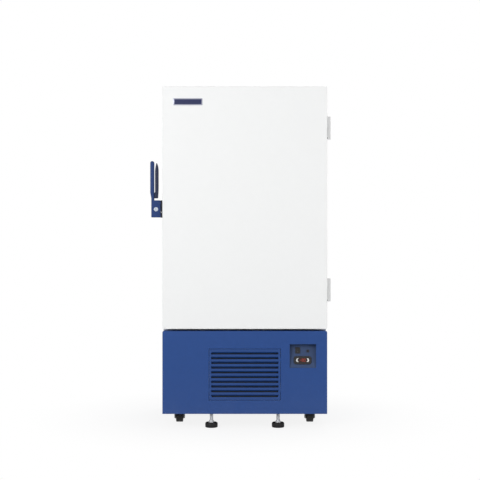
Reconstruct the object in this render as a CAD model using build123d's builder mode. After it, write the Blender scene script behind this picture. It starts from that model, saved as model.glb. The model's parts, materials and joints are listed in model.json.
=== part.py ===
from build123d import *
import os
from math import atan2, cos, radians, sin

# Upright ultra low temperature freezer: insulated cabinet over a machine compartment.
# Millimetres. While modelling, X = 0 is the cabinet's middle, Y = 0 is the front plane of the
# insulated cabinet, where the door meets it, and Z = 0 is the floor. The front looks along -Y.
# save() moves each piece so that the part's origin is on the floor under the middle of its box.

os.makedirs("parts", exist_ok=True)

# Overall sizes
cabinet_width = 940
cabinet_depth = 790
cabinet_top = 1950
base_top = 555
skirt_bottom = 82
sheet = 1.5
gap = 0.5
touch = 0.3
running = 0.05

# Insulated body
side_wall = 115
roof_wall = 115
floor_wall = 115
back_wall = 125
corner_radius = 8
breaker_plate = 8
collar_depth = 50
collar_wall = 4
shelf_count = 3
shelf_sheet = 2
ledge = 12
coil_loops = 6
coil_section = 10

# Outer door
door_gap = 12
door_thickness = 100
plug_depth = 42
plug_clearance = 13
gasket_overlap = 15
gasket_width = 30
door_liner = 2

# Inner doors
inner_door_thickness = 32
inner_door_clearance = 4
inner_door_skirt = 2
inner_pin_radius = 4
inner_pin_inset = 9

# Door hinges
hinge_height = 131
hinge_centres = (784, 1721.5)
hinge_barrel = 13.5
hinge_pin = 6
hinge_outboard = 14
hinge_leaf = 6
hinge_leaf_length = 58

# Latch handle on the door's left side
block_bottom = 1203
block_height = 97
block_depth = 58
handle_proud = 6
bracket_thickness = 10
handle_reach = 69.2
bar_width = 22.6
bar_depth = 30
bar_top = 1524
bar_kink = 6
leaf_gap = 6
leaf_width = 16
leaf_drop = 12
leaf_depth = 22
latch_pin = 4
lug_radius = 8
lug_height = 12
lug_inset = 10
lock_radius = 12.4
lock_shank = 9.5
lock_from_pin = 15.1
lock_height = 46
lock_face = 3
hook_arm = 7
hook_height = 50
roller_radius = 6
roller_back = 35
roller_out = 14
keeper_sheet = 4

# Base front: grille and control recess
grille_width = 406
grille_height = 290
grille_centre = 307
grille_slots = 10
slot_width = 383
slot_pitch = 27
slot_height = 14
grille_sheet = 2.5
grille_flange = 14
louvre_reach = 11
filter_thickness = 8
tray_width = 150
tray_height = 135
tray_centre_x = 331
tray_bottom = 345
tray_deep = 42
tray_shallow = 4

# Controls on the sloping floor of the recess
rocker_size = (28, 36)
rocker_place = (-28, 30)
rocker_tilt = 8
key_radius = 8.5
key_place = (30, 26)
display_size = (102, 47)
display_place = (-1, -27)
display_proud = 6
crescent_size = 11
crescent_spread = 32
key_travel = 1.5

# Machine compartment
frame_level = 106
frame_sheet = 3
frame_rim = 40
panel_flange = 15
post_width = 40
condenser_size = (420, 55, 320)
condenser_fins = 30
fan_radius = 122
fan_blades = 5
motor_radius = 42
motor_length = 80
compressor_radius = 105
compressor_height = 260
compressor_spacing = 400
tube_radius = 5
stub_radius = 7

# Levelling feet and casters
foot_spacing = 382
foot_front = -67
foot_rear = 735
pad_radius = 36
pad_height = 30
stud_radius = 10
boss_height = 16
caster_spacing = 756
caster_front = 0
caster_rear = 700
caster_lift = 17.5
wheel_radius = 32.5
wheel_width = 40
caster_trail = 22
kingpin = 6
axle_radius = 5
race_radius = 25

# Rear
spacer_depth = 35
spacer_width = 60
port_radius = 15
port_place = (200, 1500)

# Worked out from the sizes above
half = cabinet_width / 2
door_back = -door_gap
door_front = door_back - door_thickness
door_bottom = base_top + door_gap
chamber_half = half - side_wall
chamber_floor = base_top + floor_wall
chamber_roof = cabinet_top - roof_wall
chamber_back = cabinet_depth - back_wall
chamber_middle = (chamber_floor + chamber_roof) / 2
hinge_x = half + hinge_outboard
hinge_y = door_back / 2
handle_front = door_front - handle_proud
handle_left = -half - handle_reach
pin_x = -half - bracket_thickness - lug_inset - gap
pin_y = handle_front + lug_inset
block_top = block_bottom + block_height
left_end = handle_left
right_end = hinge_x + hinge_barrel
front_end = handle_front - touch - lock_face
rear_end = cabinet_depth + spacer_depth
to_part_frame = Location((-(left_end + right_end) / 2, -(front_end + rear_end) / 2, 0))


def front_plane(y):
    """Upright plane across the cabinet at depth y: X to the right, Z up, extrudes to the front."""
    return Plane.XZ.offset(-y)


def side_plane(x):
    """Upright plane along the cabinet's depth: Y, then Z, extrudes to the right."""
    return Plane.YZ.offset(x)


def level(z):
    """Horizontal plane at height z, extrudes upwards."""
    return Plane.XY.offset(z)


def rectangle(left, right, low, high, mode=Mode.ADD):
    """A rectangle between two corners, on the sketch that is open."""
    with Locations(((left + right) / 2, (low + high) / 2)):
        Rectangle(right - left, high - low, mode=mode)


def fill_shell(sketch):
    """The inside of the folded shell, rounded at its upper corners, on the empty sketch given."""
    rectangle(-half + sheet, half - sheet, base_top + sheet, cabinet_top - sheet)
    fillet(sketch.vertices().group_by(Axis.Y)[-1], corner_radius - sheet)


def save(piece, name):
    """Label a finished piece and write it in the part's own frame."""
    finished = piece.part.moved(to_part_frame)
    finished.label = name
    export_step(finished, f"parts/{name}.step")


# Outer shell of the cabinet: a folded wrap of floor, sides and roof, with rounded top corners
with BuildPart() as outer_cabinet:
    with BuildSketch(front_plane(cabinet_depth - sheet)) as wrap:
        rectangle(-half, half, base_top, cabinet_top)
        fillet(wrap.vertices().group_by(Axis.Y)[-1], corner_radius)
    extrude(amount=cabinet_depth - sheet)
    with BuildSketch(front_plane(cabinet_depth - sheet)) as hollow:
        fill_shell(hollow)
    extrude(amount=cabinet_depth - sheet, mode=Mode.SUBTRACT)
save(outer_cabinet, "outer_cabinet")

# Back panel, flush with the wrap, with the hole of the access port
with BuildPart() as cabinet_back:
    with BuildSketch(front_plane(cabinet_depth)) as back_plate:
        rectangle(-half, half, base_top, cabinet_top)
        fillet(back_plate.vertices().group_by(Axis.Y)[-1], corner_radius)
        with Locations(port_place):
            Circle(port_radius + touch, mode=Mode.SUBTRACT)
    extrude(amount=sheet)
save(cabinet_back, "cabinet_back")

# Stainless liner: an open box with a ledge under each shelf on both side walls
shelf_pitch = (chamber_roof - chamber_floor) / (shelf_count + 1)
shelf_levels = [chamber_floor + shelf_pitch * (index + 1) for index in range(shelf_count)]
shelf_front = collar_depth + inner_door_skirt + inner_door_thickness + ledge
shelf_back = chamber_back - gap
with BuildPart() as inner_liner:
    with BuildSketch(front_plane(chamber_back + sheet)):
        rectangle(-chamber_half - sheet, chamber_half + sheet, chamber_floor - sheet,
                  chamber_roof + sheet)
    extrude(amount=chamber_back + sheet - breaker_plate)
    with BuildSketch(front_plane(chamber_back)):
        rectangle(-chamber_half, chamber_half, chamber_floor, chamber_roof)
    extrude(amount=chamber_back - breaker_plate, mode=Mode.SUBTRACT)
    with BuildSketch(front_plane(chamber_back)):
        for shelf_level in shelf_levels:
            for wall in (-chamber_half + ledge / 2, chamber_half - ledge / 2):
                with Locations((wall, shelf_level - ledge / 2)):
                    Rectangle(ledge, ledge)
    extrude(amount=chamber_back - shelf_front)
    with BuildSketch(front_plane(chamber_back + sheet)):
        with Locations(port_place):
            Circle(port_radius + touch)
    extrude(amount=sheet, mode=Mode.SUBTRACT)
save(inner_liner, "inner_liner")

# Cold-wall evaporator: one flattened tube that loops round the liner and climbs at alternate ends
coil_front = 2 * collar_depth
coil_inner = chamber_half + sheet
coil_outer = coil_inner + coil_section
coil_back = chamber_back + sheet
coil_pitch = (chamber_roof - chamber_floor) / coil_loops
coil_levels = [chamber_floor + coil_pitch * (index + 0.5) for index in range(coil_loops)]
with BuildPart() as evaporator_coil:
    for coil_level in coil_levels:
        with BuildSketch(level(coil_level)):
            rectangle(-coil_outer, coil_outer, coil_front, coil_back + coil_section)
            rectangle(-coil_inner, coil_inner, coil_front, coil_back, mode=Mode.SUBTRACT)
        extrude(amount=coil_section)
    for index, coil_level in enumerate(coil_levels[:-1]):
        riser = -coil_inner - coil_section / 2 if index % 2 else coil_inner + coil_section / 2
        with BuildSketch(level(coil_level + coil_section)):
            with Locations((riser, coil_front + coil_section / 2)):
                Rectangle(coil_section, coil_section)
        extrude(amount=coil_pitch - coil_section)
save(evaporator_coil, "evaporator_coil")

# Foam between shell and liner, grooved where the coil lies
with BuildPart() as cabinet_insulation:
    with BuildSketch(front_plane(cabinet_depth - sheet)) as foam:
        fill_shell(foam)
        with Locations(port_place):
            Circle(port_radius + touch, mode=Mode.SUBTRACT)
    extrude(amount=cabinet_depth - sheet - breaker_plate)
    with BuildSketch(front_plane(chamber_back + sheet)):
        rectangle(-chamber_half - sheet, chamber_half + sheet, chamber_floor - sheet,
                  chamber_roof + sheet)
    extrude(amount=chamber_back + sheet - breaker_plate, mode=Mode.SUBTRACT)
    add(evaporator_coil.part, mode=Mode.SUBTRACT)
save(cabinet_insulation, "cabinet_insulation")

# Breaker: a plastic face plate round the mouth, with a collar that lines it
collar_half = chamber_half - collar_wall
collar_floor = chamber_floor + collar_wall
collar_roof = chamber_roof - collar_wall
with BuildPart() as breaker_frame:
    with BuildSketch(front_plane(breaker_plate)) as face_plate:
        fill_shell(face_plate)
    extrude(amount=breaker_plate)
    with BuildSketch(front_plane(collar_depth)):
        rectangle(-chamber_half, chamber_half, chamber_floor, chamber_roof)
    extrude(amount=collar_depth)
    with BuildSketch(front_plane(collar_depth)):
        rectangle(-collar_half, collar_half, collar_floor, collar_roof)
    extrude(amount=collar_depth, mode=Mode.SUBTRACT)
save(breaker_frame, "breaker_frame")

# Shelves: folded trays with long air slots, each resting on its two ledges
shelf_half = chamber_half - 1
shelf_lip = 18
shelf_slots = 5
with BuildPart() as shelves:
    for shelf_level in shelf_levels:
        with BuildSketch(level(shelf_level)):
            rectangle(-shelf_half, shelf_half, shelf_front + shelf_sheet, shelf_back)
            with Locations((0, (shelf_front + shelf_back) / 2)):
                with GridLocations(shelf_half * 2 / (shelf_slots + 1), 1, shelf_slots, 1):
                    Rectangle(ledge, (shelf_back - shelf_front) * 0.75, mode=Mode.SUBTRACT)
        extrude(amount=shelf_sheet)
        with BuildSketch(level(shelf_level - shelf_lip)):
            rectangle(-shelf_half, shelf_half, shelf_front, shelf_front + shelf_sheet)
            rectangle(-shelf_half, -chamber_half + ledge, shelf_front, shelf_front + shelf_sheet,
                      mode=Mode.SUBTRACT)
            rectangle(chamber_half - ledge, shelf_half, shelf_front, shelf_front + shelf_sheet,
                      mode=Mode.SUBTRACT)
        extrude(amount=shelf_lip + shelf_sheet)
save(shelves, "shelves")

# Access port: a plastic tube with a flange at each end, through the back wall, and its stopper
port_inner = port_radius - 4
port_flange = port_radius + 6
port_lip = 3
with BuildPart() as access_port:
    with BuildSketch(front_plane(chamber_back)):
        with Locations(port_place):
            Circle(port_flange)
            Circle(port_inner, mode=Mode.SUBTRACT)
    extrude(amount=port_lip)
    with BuildSketch(front_plane(cabinet_depth + port_lip)):
        with Locations(port_place):
            Circle(port_flange)
            Circle(port_inner, mode=Mode.SUBTRACT)
    extrude(amount=port_lip)
    with BuildSketch(front_plane(cabinet_depth)):
        with Locations(port_place):
            Circle(port_radius)
            Circle(port_inner, mode=Mode.SUBTRACT)
    extrude(amount=cabinet_depth - chamber_back)
    with BuildSketch(front_plane(cabinet_depth + 3 * port_lip)):
        with Locations(port_place):
            Circle(port_flange - port_lip)
    extrude(amount=2 * port_lip)
    with BuildSketch(front_plane(cabinet_depth + port_lip)):
        with Locations(port_place):
            Circle(port_inner - touch)
    extrude(amount=back_wall / 3)
save(access_port, "access_port")

# Seal frame of the inner doors: a ladder of rubber on the liner, just behind the doors
seal_front = collar_depth + inner_door_skirt + inner_door_thickness + touch
seal_width = 22
with BuildPart() as inner_door_seals:
    with BuildSketch(front_plane(shelf_front - gap)):
        rectangle(-chamber_half, chamber_half, chamber_floor, chamber_roof)
        rectangle(-chamber_half + seal_width, chamber_half - seal_width,
                  chamber_floor + seal_width, chamber_middle - seal_width / 2, mode=Mode.SUBTRACT)
        rectangle(-chamber_half + seal_width, chamber_half - seal_width,
                  chamber_middle + seal_width / 2, chamber_roof - seal_width, mode=Mode.SUBTRACT)
    extrude(amount=shelf_front - gap - seal_front)
save(inner_door_seals, "inner_door_seals")

# Inner doors: two insulated panels on vertical pins, with a moulded pull at the free edge
inner_left = -collar_half + inner_door_clearance
inner_right = collar_half - inner_door_clearance
inner_front = collar_depth + inner_door_skirt
inner_back = inner_front + inner_door_thickness
inner_span = (collar_roof - collar_floor - 3 * inner_door_clearance) / 2
inner_bottoms = {
    "inner_door_lower": collar_floor + inner_door_clearance,
    "inner_door_upper": collar_floor + 2 * inner_door_clearance + inner_span,
}
inner_pin_x = inner_right - inner_pin_inset
inner_pin_y = inner_front + inner_pin_inset
inner_pin_reach = 14
pull_width = 14
pull_height = 120


def build_inner_door(low):
    """One inner door: slab with rounded edges, a grip groove and a blind pin hole at each end."""
    with BuildPart() as door:
        with BuildSketch(level(low)) as slab:
            rectangle(inner_left, inner_right, inner_front, inner_back)
            fillet(slab.vertices().group_by(Axis.X)[-1], inner_pin_inset - gap)
        extrude(amount=inner_span)
        with BuildSketch(side_plane(inner_left)):
            rectangle(inner_front, inner_front + pull_width, low + inner_span / 2 - pull_height / 2,
                      low + inner_span / 2 + pull_height / 2)
        extrude(amount=pull_width, mode=Mode.SUBTRACT)
        with BuildSketch(level(low)):
            with Locations((inner_pin_x, inner_pin_y)):
                Circle(inner_pin_radius + running)
        extrude(amount=inner_pin_reach, mode=Mode.SUBTRACT)
        with BuildSketch(level(low + inner_span - inner_pin_reach)):
            with Locations((inner_pin_x, inner_pin_y)):
                Circle(inner_pin_radius + running)
        extrude(amount=inner_pin_reach, mode=Mode.SUBTRACT)
    return door


for name, low in inner_bottoms.items():
    save(build_inner_door(low), name)

# Pins of the inner doors: a plate in each clearance, fixed to the liner wall, with its pins
pin_plate = inner_door_clearance - 1
pin_ends = [
    (collar_floor, 1),
    (collar_floor + inner_door_clearance + inner_span, 0),
    (collar_roof - inner_door_clearance, -1),
]
with BuildPart() as inner_door_hinges:
    for low, pins in pin_ends:
        plate_low = low + (inner_door_clearance - pin_plate) / 2
        with BuildSketch(level(plate_low)):
            rectangle(inner_pin_x - inner_pin_inset, chamber_half, inner_front + gap,
                      inner_back - gap)
        extrude(amount=pin_plate)
        if pins >= 0:
            with BuildSketch(level(plate_low)):
                with Locations((inner_pin_x, inner_pin_y)):
                    Circle(inner_pin_radius)
            extrude(amount=pin_plate + inner_pin_reach - gap)
        if pins <= 0:
            with BuildSketch(level(plate_low + pin_plate - inner_pin_reach + gap)):
                with Locations((inner_pin_x, inner_pin_y)):
                    Circle(inner_pin_radius)
            extrude(amount=inner_pin_reach - gap)
save(inner_door_hinges, "inner_door_hinges")

# Outer door: folded steel skin, foam, plastic liner with its plug, and the gasket
door_liner_front = door_back - door_liner
plug_half = collar_half - plug_clearance
plug_low = collar_floor + plug_clearance
plug_high = collar_roof - plug_clearance
plug_back = door_back + plug_depth
edge_radius = 5
with BuildPart() as door_skin:
    with BuildSketch(front_plane(door_liner_front)):
        rectangle(-half, half, door_bottom, cabinet_top)
    extrude(amount=door_liner_front - door_front)
    fillet(door_skin.edges().filter_by(Axis.Y), edge_radius)
    fillet(door_skin.faces().sort_by(Axis.Y)[0].edges(), edge_radius / 2)
    with BuildSketch(front_plane(door_liner_front)) as cavity:
        rectangle(-half + sheet, half - sheet, door_bottom + sheet, cabinet_top - sheet)
        fillet(cavity.vertices(), edge_radius - sheet)
    extrude(amount=door_liner_front - door_front - sheet, mode=Mode.SUBTRACT)
save(door_skin, "door_skin")

with BuildPart() as door_insulation:
    with BuildSketch(front_plane(door_liner_front)) as fill:
        rectangle(-half + sheet, half - sheet, door_bottom + sheet, cabinet_top - sheet)
        fillet(fill.vertices(), edge_radius - sheet)
    extrude(amount=door_liner_front - door_front - sheet)
    with BuildSketch(front_plane(plug_back - door_liner)):
        rectangle(-plug_half + door_liner, plug_half - door_liner, plug_low + door_liner,
                  plug_high - door_liner)
    extrude(amount=plug_back - door_liner - door_liner_front)
save(door_insulation, "door_insulation")

with BuildPart() as door_inner_panel:
    with BuildSketch(front_plane(door_back)) as plate:
        rectangle(-half, half, door_bottom, cabinet_top)
        fillet(plate.vertices(), edge_radius)
    extrude(amount=door_liner)
    with BuildSketch(front_plane(plug_back)) as plug:
        rectangle(-plug_half, plug_half, plug_low, plug_high)
    extrude(amount=plug_depth)
    chamfer(door_inner_panel.faces().sort_by(Axis.Y)[-1].edges(), door_liner / 2)
    with BuildSketch(front_plane(plug_back - door_liner)):
        rectangle(-plug_half + door_liner, plug_half - door_liner, plug_low + door_liner,
                  plug_high - door_liner)
    extrude(amount=plug_back - door_liner_front, mode=Mode.SUBTRACT)
save(door_inner_panel, "door_inner_panel")

# Gasket: a bulb profile round the plug, carried on the door, lightly pressed on the breaker
gasket_inner = chamber_half + gasket_overlap
gasket_low = chamber_floor - gasket_overlap
gasket_high = chamber_roof + gasket_overlap
with BuildPart() as door_gasket:
    with BuildSketch(front_plane(-touch)):
        rectangle(-gasket_inner - gasket_width, gasket_inner + gasket_width,
                  gasket_low - gasket_width, gasket_high + gasket_width)
        rectangle(-gasket_inner, gasket_inner, gasket_low, gasket_high, mode=Mode.SUBTRACT)
    extrude(amount=-touch - door_back)
    chamfer(door_gasket.faces().sort_by(Axis.Y)[-1].edges(), door_gap / 3)
save(door_gasket, "door_gasket")

# Door hinges: lift-off barrels, the fixed lower half carries the pin, the upper half rides on it
half_hinge = hinge_height / 2
pin_rise = half_hinge - 6


def build_hinge_half(low, towards_back):
    """A barrel, its neck and its leaf; the leaf lies on the side wall of door or cabinet."""
    with BuildPart() as hinge_half:
        with BuildSketch(level(low)):
            with Locations((hinge_x, hinge_y)):
                Circle(hinge_barrel)
            if towards_back:
                rectangle(half, hinge_x, gap, hinge_y + hinge_barrel)
                rectangle(half, half + hinge_leaf, gap, hinge_leaf_length)
            else:
                rectangle(half, hinge_x, hinge_y - hinge_barrel, door_back - gap)
                rectangle(half, half + hinge_leaf, door_back - hinge_leaf_length, door_back - gap)
        extrude(amount=half_hinge - gap)
    return hinge_half


with BuildPart() as cabinet_hinges:
    for centre in hinge_centres:
        add(build_hinge_half(centre - half_hinge, True).part)
        with BuildSketch(level(centre - half_hinge)):
            with Locations((hinge_x, hinge_y)):
                Circle(hinge_pin)
        extrude(amount=half_hinge + pin_rise)
save(cabinet_hinges, "cabinet_hinges")

with BuildPart() as door_hinges:
    for centre in hinge_centres:
        add(build_hinge_half(centre, False).part)
        with BuildSketch(level(centre)):
            with Locations((hinge_x, hinge_y)):
                Circle(hinge_pin + running)
        extrude(amount=pin_rise + gap, mode=Mode.SUBTRACT)
save(door_hinges, "door_hinges")

# Latch bracket on the door's left side: a plate with two lugs and the upright pivot pin
lug_levels = (block_bottom + lug_inset, block_top - lug_inset - lug_height)
pin_end = 4
with BuildPart() as latch_bracket:
    with BuildSketch(level(block_bottom)):
        rectangle(-half - bracket_thickness, -half, handle_front + handle_proud, -2 * door_gap)
    extrude(amount=block_height)
    for lug_level in lug_levels:
        with BuildSketch(level(lug_level)):
            with Locations((pin_x, pin_y)):
                Circle(lug_radius)
            rectangle(pin_x, -half - bracket_thickness, pin_y - lug_radius / 2,
                      pin_y + lug_radius)
        extrude(amount=lug_height)
    with BuildSketch(level(block_bottom + pin_end)):
        with Locations((pin_x, pin_y)):
            Circle(latch_pin)
    extrude(amount=block_height - 2 * pin_end)
save(latch_bracket, "latch_bracket")

# Door handle: lever block on the pivot pin, upright grip bar, and the hook arm behind it
block_right = -half - bracket_thickness - gap
block_left = handle_left + bar_kink
block_back = handle_front + block_depth
bar_right = handle_left + bar_width
keeper_x = -half - roller_out
hook_outer = keeper_x - roller_radius - 2 - hook_arm
hook_back = roller_back + roller_radius + 1
hook_low = block_bottom + (block_height - hook_height) / 2
kink_low = block_top + 12
kink_high = kink_low + 33
block_edge = 6
with BuildPart() as door_handle:
    with BuildSketch(front_plane(handle_front + bar_depth)) as bar:
        with BuildLine():
            Polyline((bar_right, block_top - block_edge), (block_left, block_top - block_edge),
                     (block_left, kink_low), (handle_left, kink_high),
                     (handle_left, bar_top - bar_width / 2))
            ThreePointArc((handle_left, bar_top - bar_width / 2),
                          (handle_left + bar_width / 2, bar_top),
                          (bar_right, bar_top - bar_width / 2))
            Line((bar_right, bar_top - bar_width / 2), (bar_right, block_top - block_edge))
        make_face()
    extrude(amount=bar_depth)
    fillet(door_handle.faces().sort_by(Axis.Y)[0].edges(), bar_width / 3)
    fillet(door_handle.faces().sort_by(Axis.Y)[-1].edges(), bar_width / 4)
with BuildPart() as lever_block:
    with BuildSketch(level(block_bottom)) as block:
        rectangle(block_left, block_right, handle_front, block_back)
        fillet(block.vertices().group_by(Axis.X)[-1].sort_by(Axis.Y)[0], lug_inset - gap)
        fillet(block.vertices().group_by(Axis.X)[0], block_edge)
    extrude(amount=block_height)
    fillet(lever_block.faces().sort_by(Axis.Z)[-1].edges(), block_edge / 2)
    fillet(lever_block.faces().sort_by(Axis.Z)[0].edges(), block_edge / 2)
with BuildPart() as door_handle_whole:
    add(door_handle.part)
    add(lever_block.part)
    with BuildSketch(level(hook_low)):
        rectangle(hook_outer, hook_outer + hook_arm, block_back - block_edge,
                  hook_back + hook_arm)
        rectangle(hook_outer, keeper_x + roller_radius + 1, hook_back, hook_back + hook_arm)
    extrude(amount=hook_height)
    for lug_level in lug_levels:
        with BuildSketch(level(lug_level - gap)):
            with Locations((pin_x, pin_y)):
                Circle(lug_radius + gap)
            rectangle(pin_x, block_right + gap, handle_front - gap, pin_y + lug_radius + gap)
            rectangle(pin_x - lug_radius / 2, pin_x, handle_front - gap, pin_y)
        extrude(amount=lug_height + 2 * gap, mode=Mode.SUBTRACT)
    with BuildSketch(level(block_bottom + pin_end - gap)):
        with Locations((pin_x, pin_y)):
            Circle(latch_pin + running)
    extrude(amount=block_height - 2 * pin_end + 2 * gap, mode=Mode.SUBTRACT)
    with BuildSketch(front_plane(handle_front + block_depth / 2)):
        with Locations((pin_x - lock_from_pin, block_bottom + lock_height)):
            Circle(lock_shank + running)
    extrude(amount=block_depth / 2, mode=Mode.SUBTRACT)
save(door_handle_whole, "door_handle")

# Inner leaf of the grip: a bulging blade beside the bar, joined to it at its foot
leaf_left = bar_right + leaf_gap
leaf_right = leaf_left + leaf_width
leaf_top = bar_top - leaf_drop
leaf_low = block_top + leaf_drop
leaf_foot = leaf_low + 30
with BuildPart() as handle_inner_grip:
    with BuildSketch(front_plane(handle_front + bar_depth - 2)):
        with BuildLine():
            Polyline((leaf_right - 5, leaf_low), (bar_right, leaf_low), (bar_right, leaf_foot),
                     (leaf_left, leaf_foot + leaf_gap), (leaf_left, leaf_top - 30))
            Spline((leaf_left, leaf_top - 30), (leaf_left + 5, leaf_top - 8),
                   (leaf_left + 9, leaf_top))
            Spline((leaf_left + 9, leaf_top), (leaf_right - 3, leaf_top - 12),
                   (leaf_right, (leaf_top + leaf_low) / 2), (leaf_right - 5, leaf_low))
        make_face()
    extrude(amount=leaf_depth)
    fillet(handle_inner_grip.faces().sort_by(Axis.Y)[0].edges().sort_by(Axis.X)[-1:], 4)
save(handle_inner_grip, "handle_inner_grip")

# Key lock in the lever block: flange, shank and keyway, all turning
with BuildPart() as lock_barrel:
    lock_place = (pin_x - lock_from_pin, block_bottom + lock_height)
    with BuildSketch(front_plane(handle_front - touch)):
        with Locations(lock_place):
            Circle(lock_radius)
    extrude(amount=lock_face)
    fillet(lock_barrel.faces().sort_by(Axis.Y)[0].edges(), lock_face / 2)
    with BuildSketch(front_plane(handle_front + block_depth / 2 - gap)):
        with Locations(lock_place):
            Circle(lock_shank)
    extrude(amount=block_depth / 2)
    with BuildSketch(front_plane(handle_front - touch)):
        with Locations(lock_place):
            Rectangle(2, lock_radius)
    extrude(amount=2 * lock_face, mode=Mode.SUBTRACT)
save(lock_barrel, "lock_barrel")

# Latch keeper on the cabinet's left side: a plate with two ears and the upright roller
with BuildPart() as latch_keeper:
    with BuildSketch(level(block_bottom)):
        rectangle(-half - keeper_sheet, -half, roller_radius * 2, 2 * roller_back)
    extrude(amount=block_height)
    for ear_level in (block_bottom, block_top - keeper_sheet * 2):
        with BuildSketch(level(ear_level)):
            with Locations((keeper_x, roller_back)):
                Circle(roller_radius + 1)
            rectangle(keeper_x, -half - keeper_sheet, roller_back - roller_radius - 1,
                      roller_back + roller_radius + 1)
        extrude(amount=keeper_sheet * 2)
    with BuildSketch(level(block_bottom)):
        with Locations((keeper_x, roller_back)):
            Circle(roller_radius)
    extrude(amount=block_height)
save(latch_keeper, "latch_keeper")

# Base frame: floor pan with a raised rim, four corner posts under the cabinet, foot bosses
frame_half = half - sheet - gap
frame_front = door_front + sheet + gap + panel_flange
frame_rear = cabinet_depth - sheet - gap
frame_top = frame_level + frame_sheet
foot_places = [(x, y) for x in (-foot_spacing / 2, foot_spacing / 2)
               for y in (foot_front, foot_rear)]
caster_places = [(x, y) for x in (-caster_spacing / 2, caster_spacing / 2)
                 for y in (caster_front, caster_rear)]
corner_names = ("left_front", "left_rear", "right_front", "right_rear")
with BuildPart() as base_frame:
    with BuildSketch(level(frame_level)):
        rectangle(-frame_half, frame_half, frame_front, frame_rear)
    extrude(amount=frame_sheet)
    with BuildSketch(level(frame_top)):
        rectangle(-frame_half, frame_half, frame_front, frame_rear)
        rectangle(-frame_half + frame_sheet, frame_half - frame_sheet, frame_front + frame_sheet,
                  frame_rear - frame_sheet, mode=Mode.SUBTRACT)
    extrude(amount=frame_rim)
    for side in (-1, 1):
        for front, back, fold in ((gap, post_width, gap), (frame_rear - post_width, frame_rear,
                                                             frame_rear - frame_sheet)):
            with BuildSketch(level(frame_top)):
                rectangle(side * (frame_half - frame_sheet / 2) - frame_sheet / 2,
                          side * (frame_half - frame_sheet / 2) + frame_sheet / 2, front, back)
                rectangle(side * (frame_half - post_width / 2) - post_width / 2,
                          side * (frame_half - post_width / 2) + post_width / 2, fold,
                          fold + frame_sheet)
            extrude(amount=base_top - frame_top)
    with BuildSketch(level(frame_level - boss_height)):
        with Locations(foot_places):
            RegularPolygon(stud_radius * 1.7, 6)
    extrude(amount=boss_height)
    with BuildSketch(level(frame_level - boss_height)):
        with Locations(foot_places):
            Circle(stud_radius + running)
    extrude(amount=boss_height + frame_sheet, mode=Mode.SUBTRACT)
save(base_frame, "base_frame")

# Side panels of the base: sheets with a folded foot
with BuildPart() as base_side_panels:
    for side in (-1, 1):
        with BuildSketch(front_plane(cabinet_depth - sheet)):
            rectangle(side * (half - sheet / 2) - sheet / 2, side * (half - sheet / 2) + sheet / 2,
                      skirt_bottom, base_top - gap)
            rectangle(side * (half - panel_flange / 2) - panel_flange / 2,
                      side * (half - panel_flange / 2) + panel_flange / 2, skirt_bottom,
                      skirt_bottom + sheet)
        extrude(amount=cabinet_depth - sheet - gap)
save(base_side_panels, "base_side_panels")

# Rear panel of the base: a sheet with rows of air slots and the cut-out of the power inlet
vent_slots = 9
vent_width = 300
inlet_size = (30, 24)
inlet_place = (-330, 200)
with BuildPart() as rear_panel:
    with BuildSketch(front_plane(cabinet_depth)):
        rectangle(-half, half, skirt_bottom, base_top - gap)
        with Locations((0, (skirt_bottom + base_top) / 2)):
            with GridLocations(half * 0.75, slot_pitch * 1.2, 2, vent_slots):
                Rectangle(vent_width, slot_height, mode=Mode.SUBTRACT)
        with Locations(inlet_place):
            Rectangle(*inlet_size, mode=Mode.SUBTRACT)
    extrude(amount=sheet)
save(rear_panel, "rear_panel")

with BuildPart() as power_inlet:
    with BuildSketch(front_plane(cabinet_depth)):
        with Locations(inlet_place):
            Rectangle(inlet_size[0] - gap, inlet_size[1] - gap)
    extrude(amount=inlet_size[1])
    with BuildSketch(front_plane(cabinet_depth + frame_sheet)) as inlet_flange:
        with Locations(inlet_place):
            Rectangle(inlet_size[0] + 20, inlet_size[1] + 6)
        chamfer(inlet_flange.vertices(), 4)
    extrude(amount=frame_sheet)
    with BuildSketch(front_plane(cabinet_depth + frame_sheet)):
        with Locations(inlet_place):
            Rectangle(inlet_size[0] - 6, inlet_size[1] - 8)
    extrude(amount=inlet_size[1] - frame_sheet, mode=Mode.SUBTRACT)
save(power_inlet, "power_inlet")

# Front panel: a folded hood with openings for the grille and for the control recess
front_corner = 9
grille_reveal = 2
tray_top = tray_bottom + tray_height
with BuildPart() as front_panel:
    with BuildSketch(front_plane(0)) as hood:
        rectangle(-half, half, skirt_bottom, base_top)
        fillet(hood.vertices().group_by(Axis.Y)[-1], front_corner)
    extrude(amount=-door_front)
    fillet(front_panel.faces().sort_by(Axis.Y)[0].edges(), edge_radius / 2)
    with BuildSketch(front_plane(0)) as hood_inside:
        rectangle(-half + sheet, half - sheet, skirt_bottom + sheet, base_top - sheet)
        fillet(hood_inside.vertices().group_by(Axis.Y)[-1], front_corner - sheet)
    extrude(amount=-door_front - sheet, mode=Mode.SUBTRACT)
    with BuildSketch(level(skirt_bottom)):
        rectangle(-half + panel_flange, half - panel_flange, door_front + panel_flange, 0)
    extrude(amount=sheet, mode=Mode.SUBTRACT)
    with BuildSketch(front_plane(door_front + sheet)):
        with Locations((0, grille_centre)):
            Rectangle(grille_width + grille_reveal * 2, grille_height + grille_reveal * 2)
        with Locations((tray_centre_x, tray_bottom + tray_height / 2)):
            Rectangle(tray_width, tray_height)
    extrude(amount=sheet, mode=Mode.SUBTRACT)
save(front_panel, "front_panel")

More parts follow.
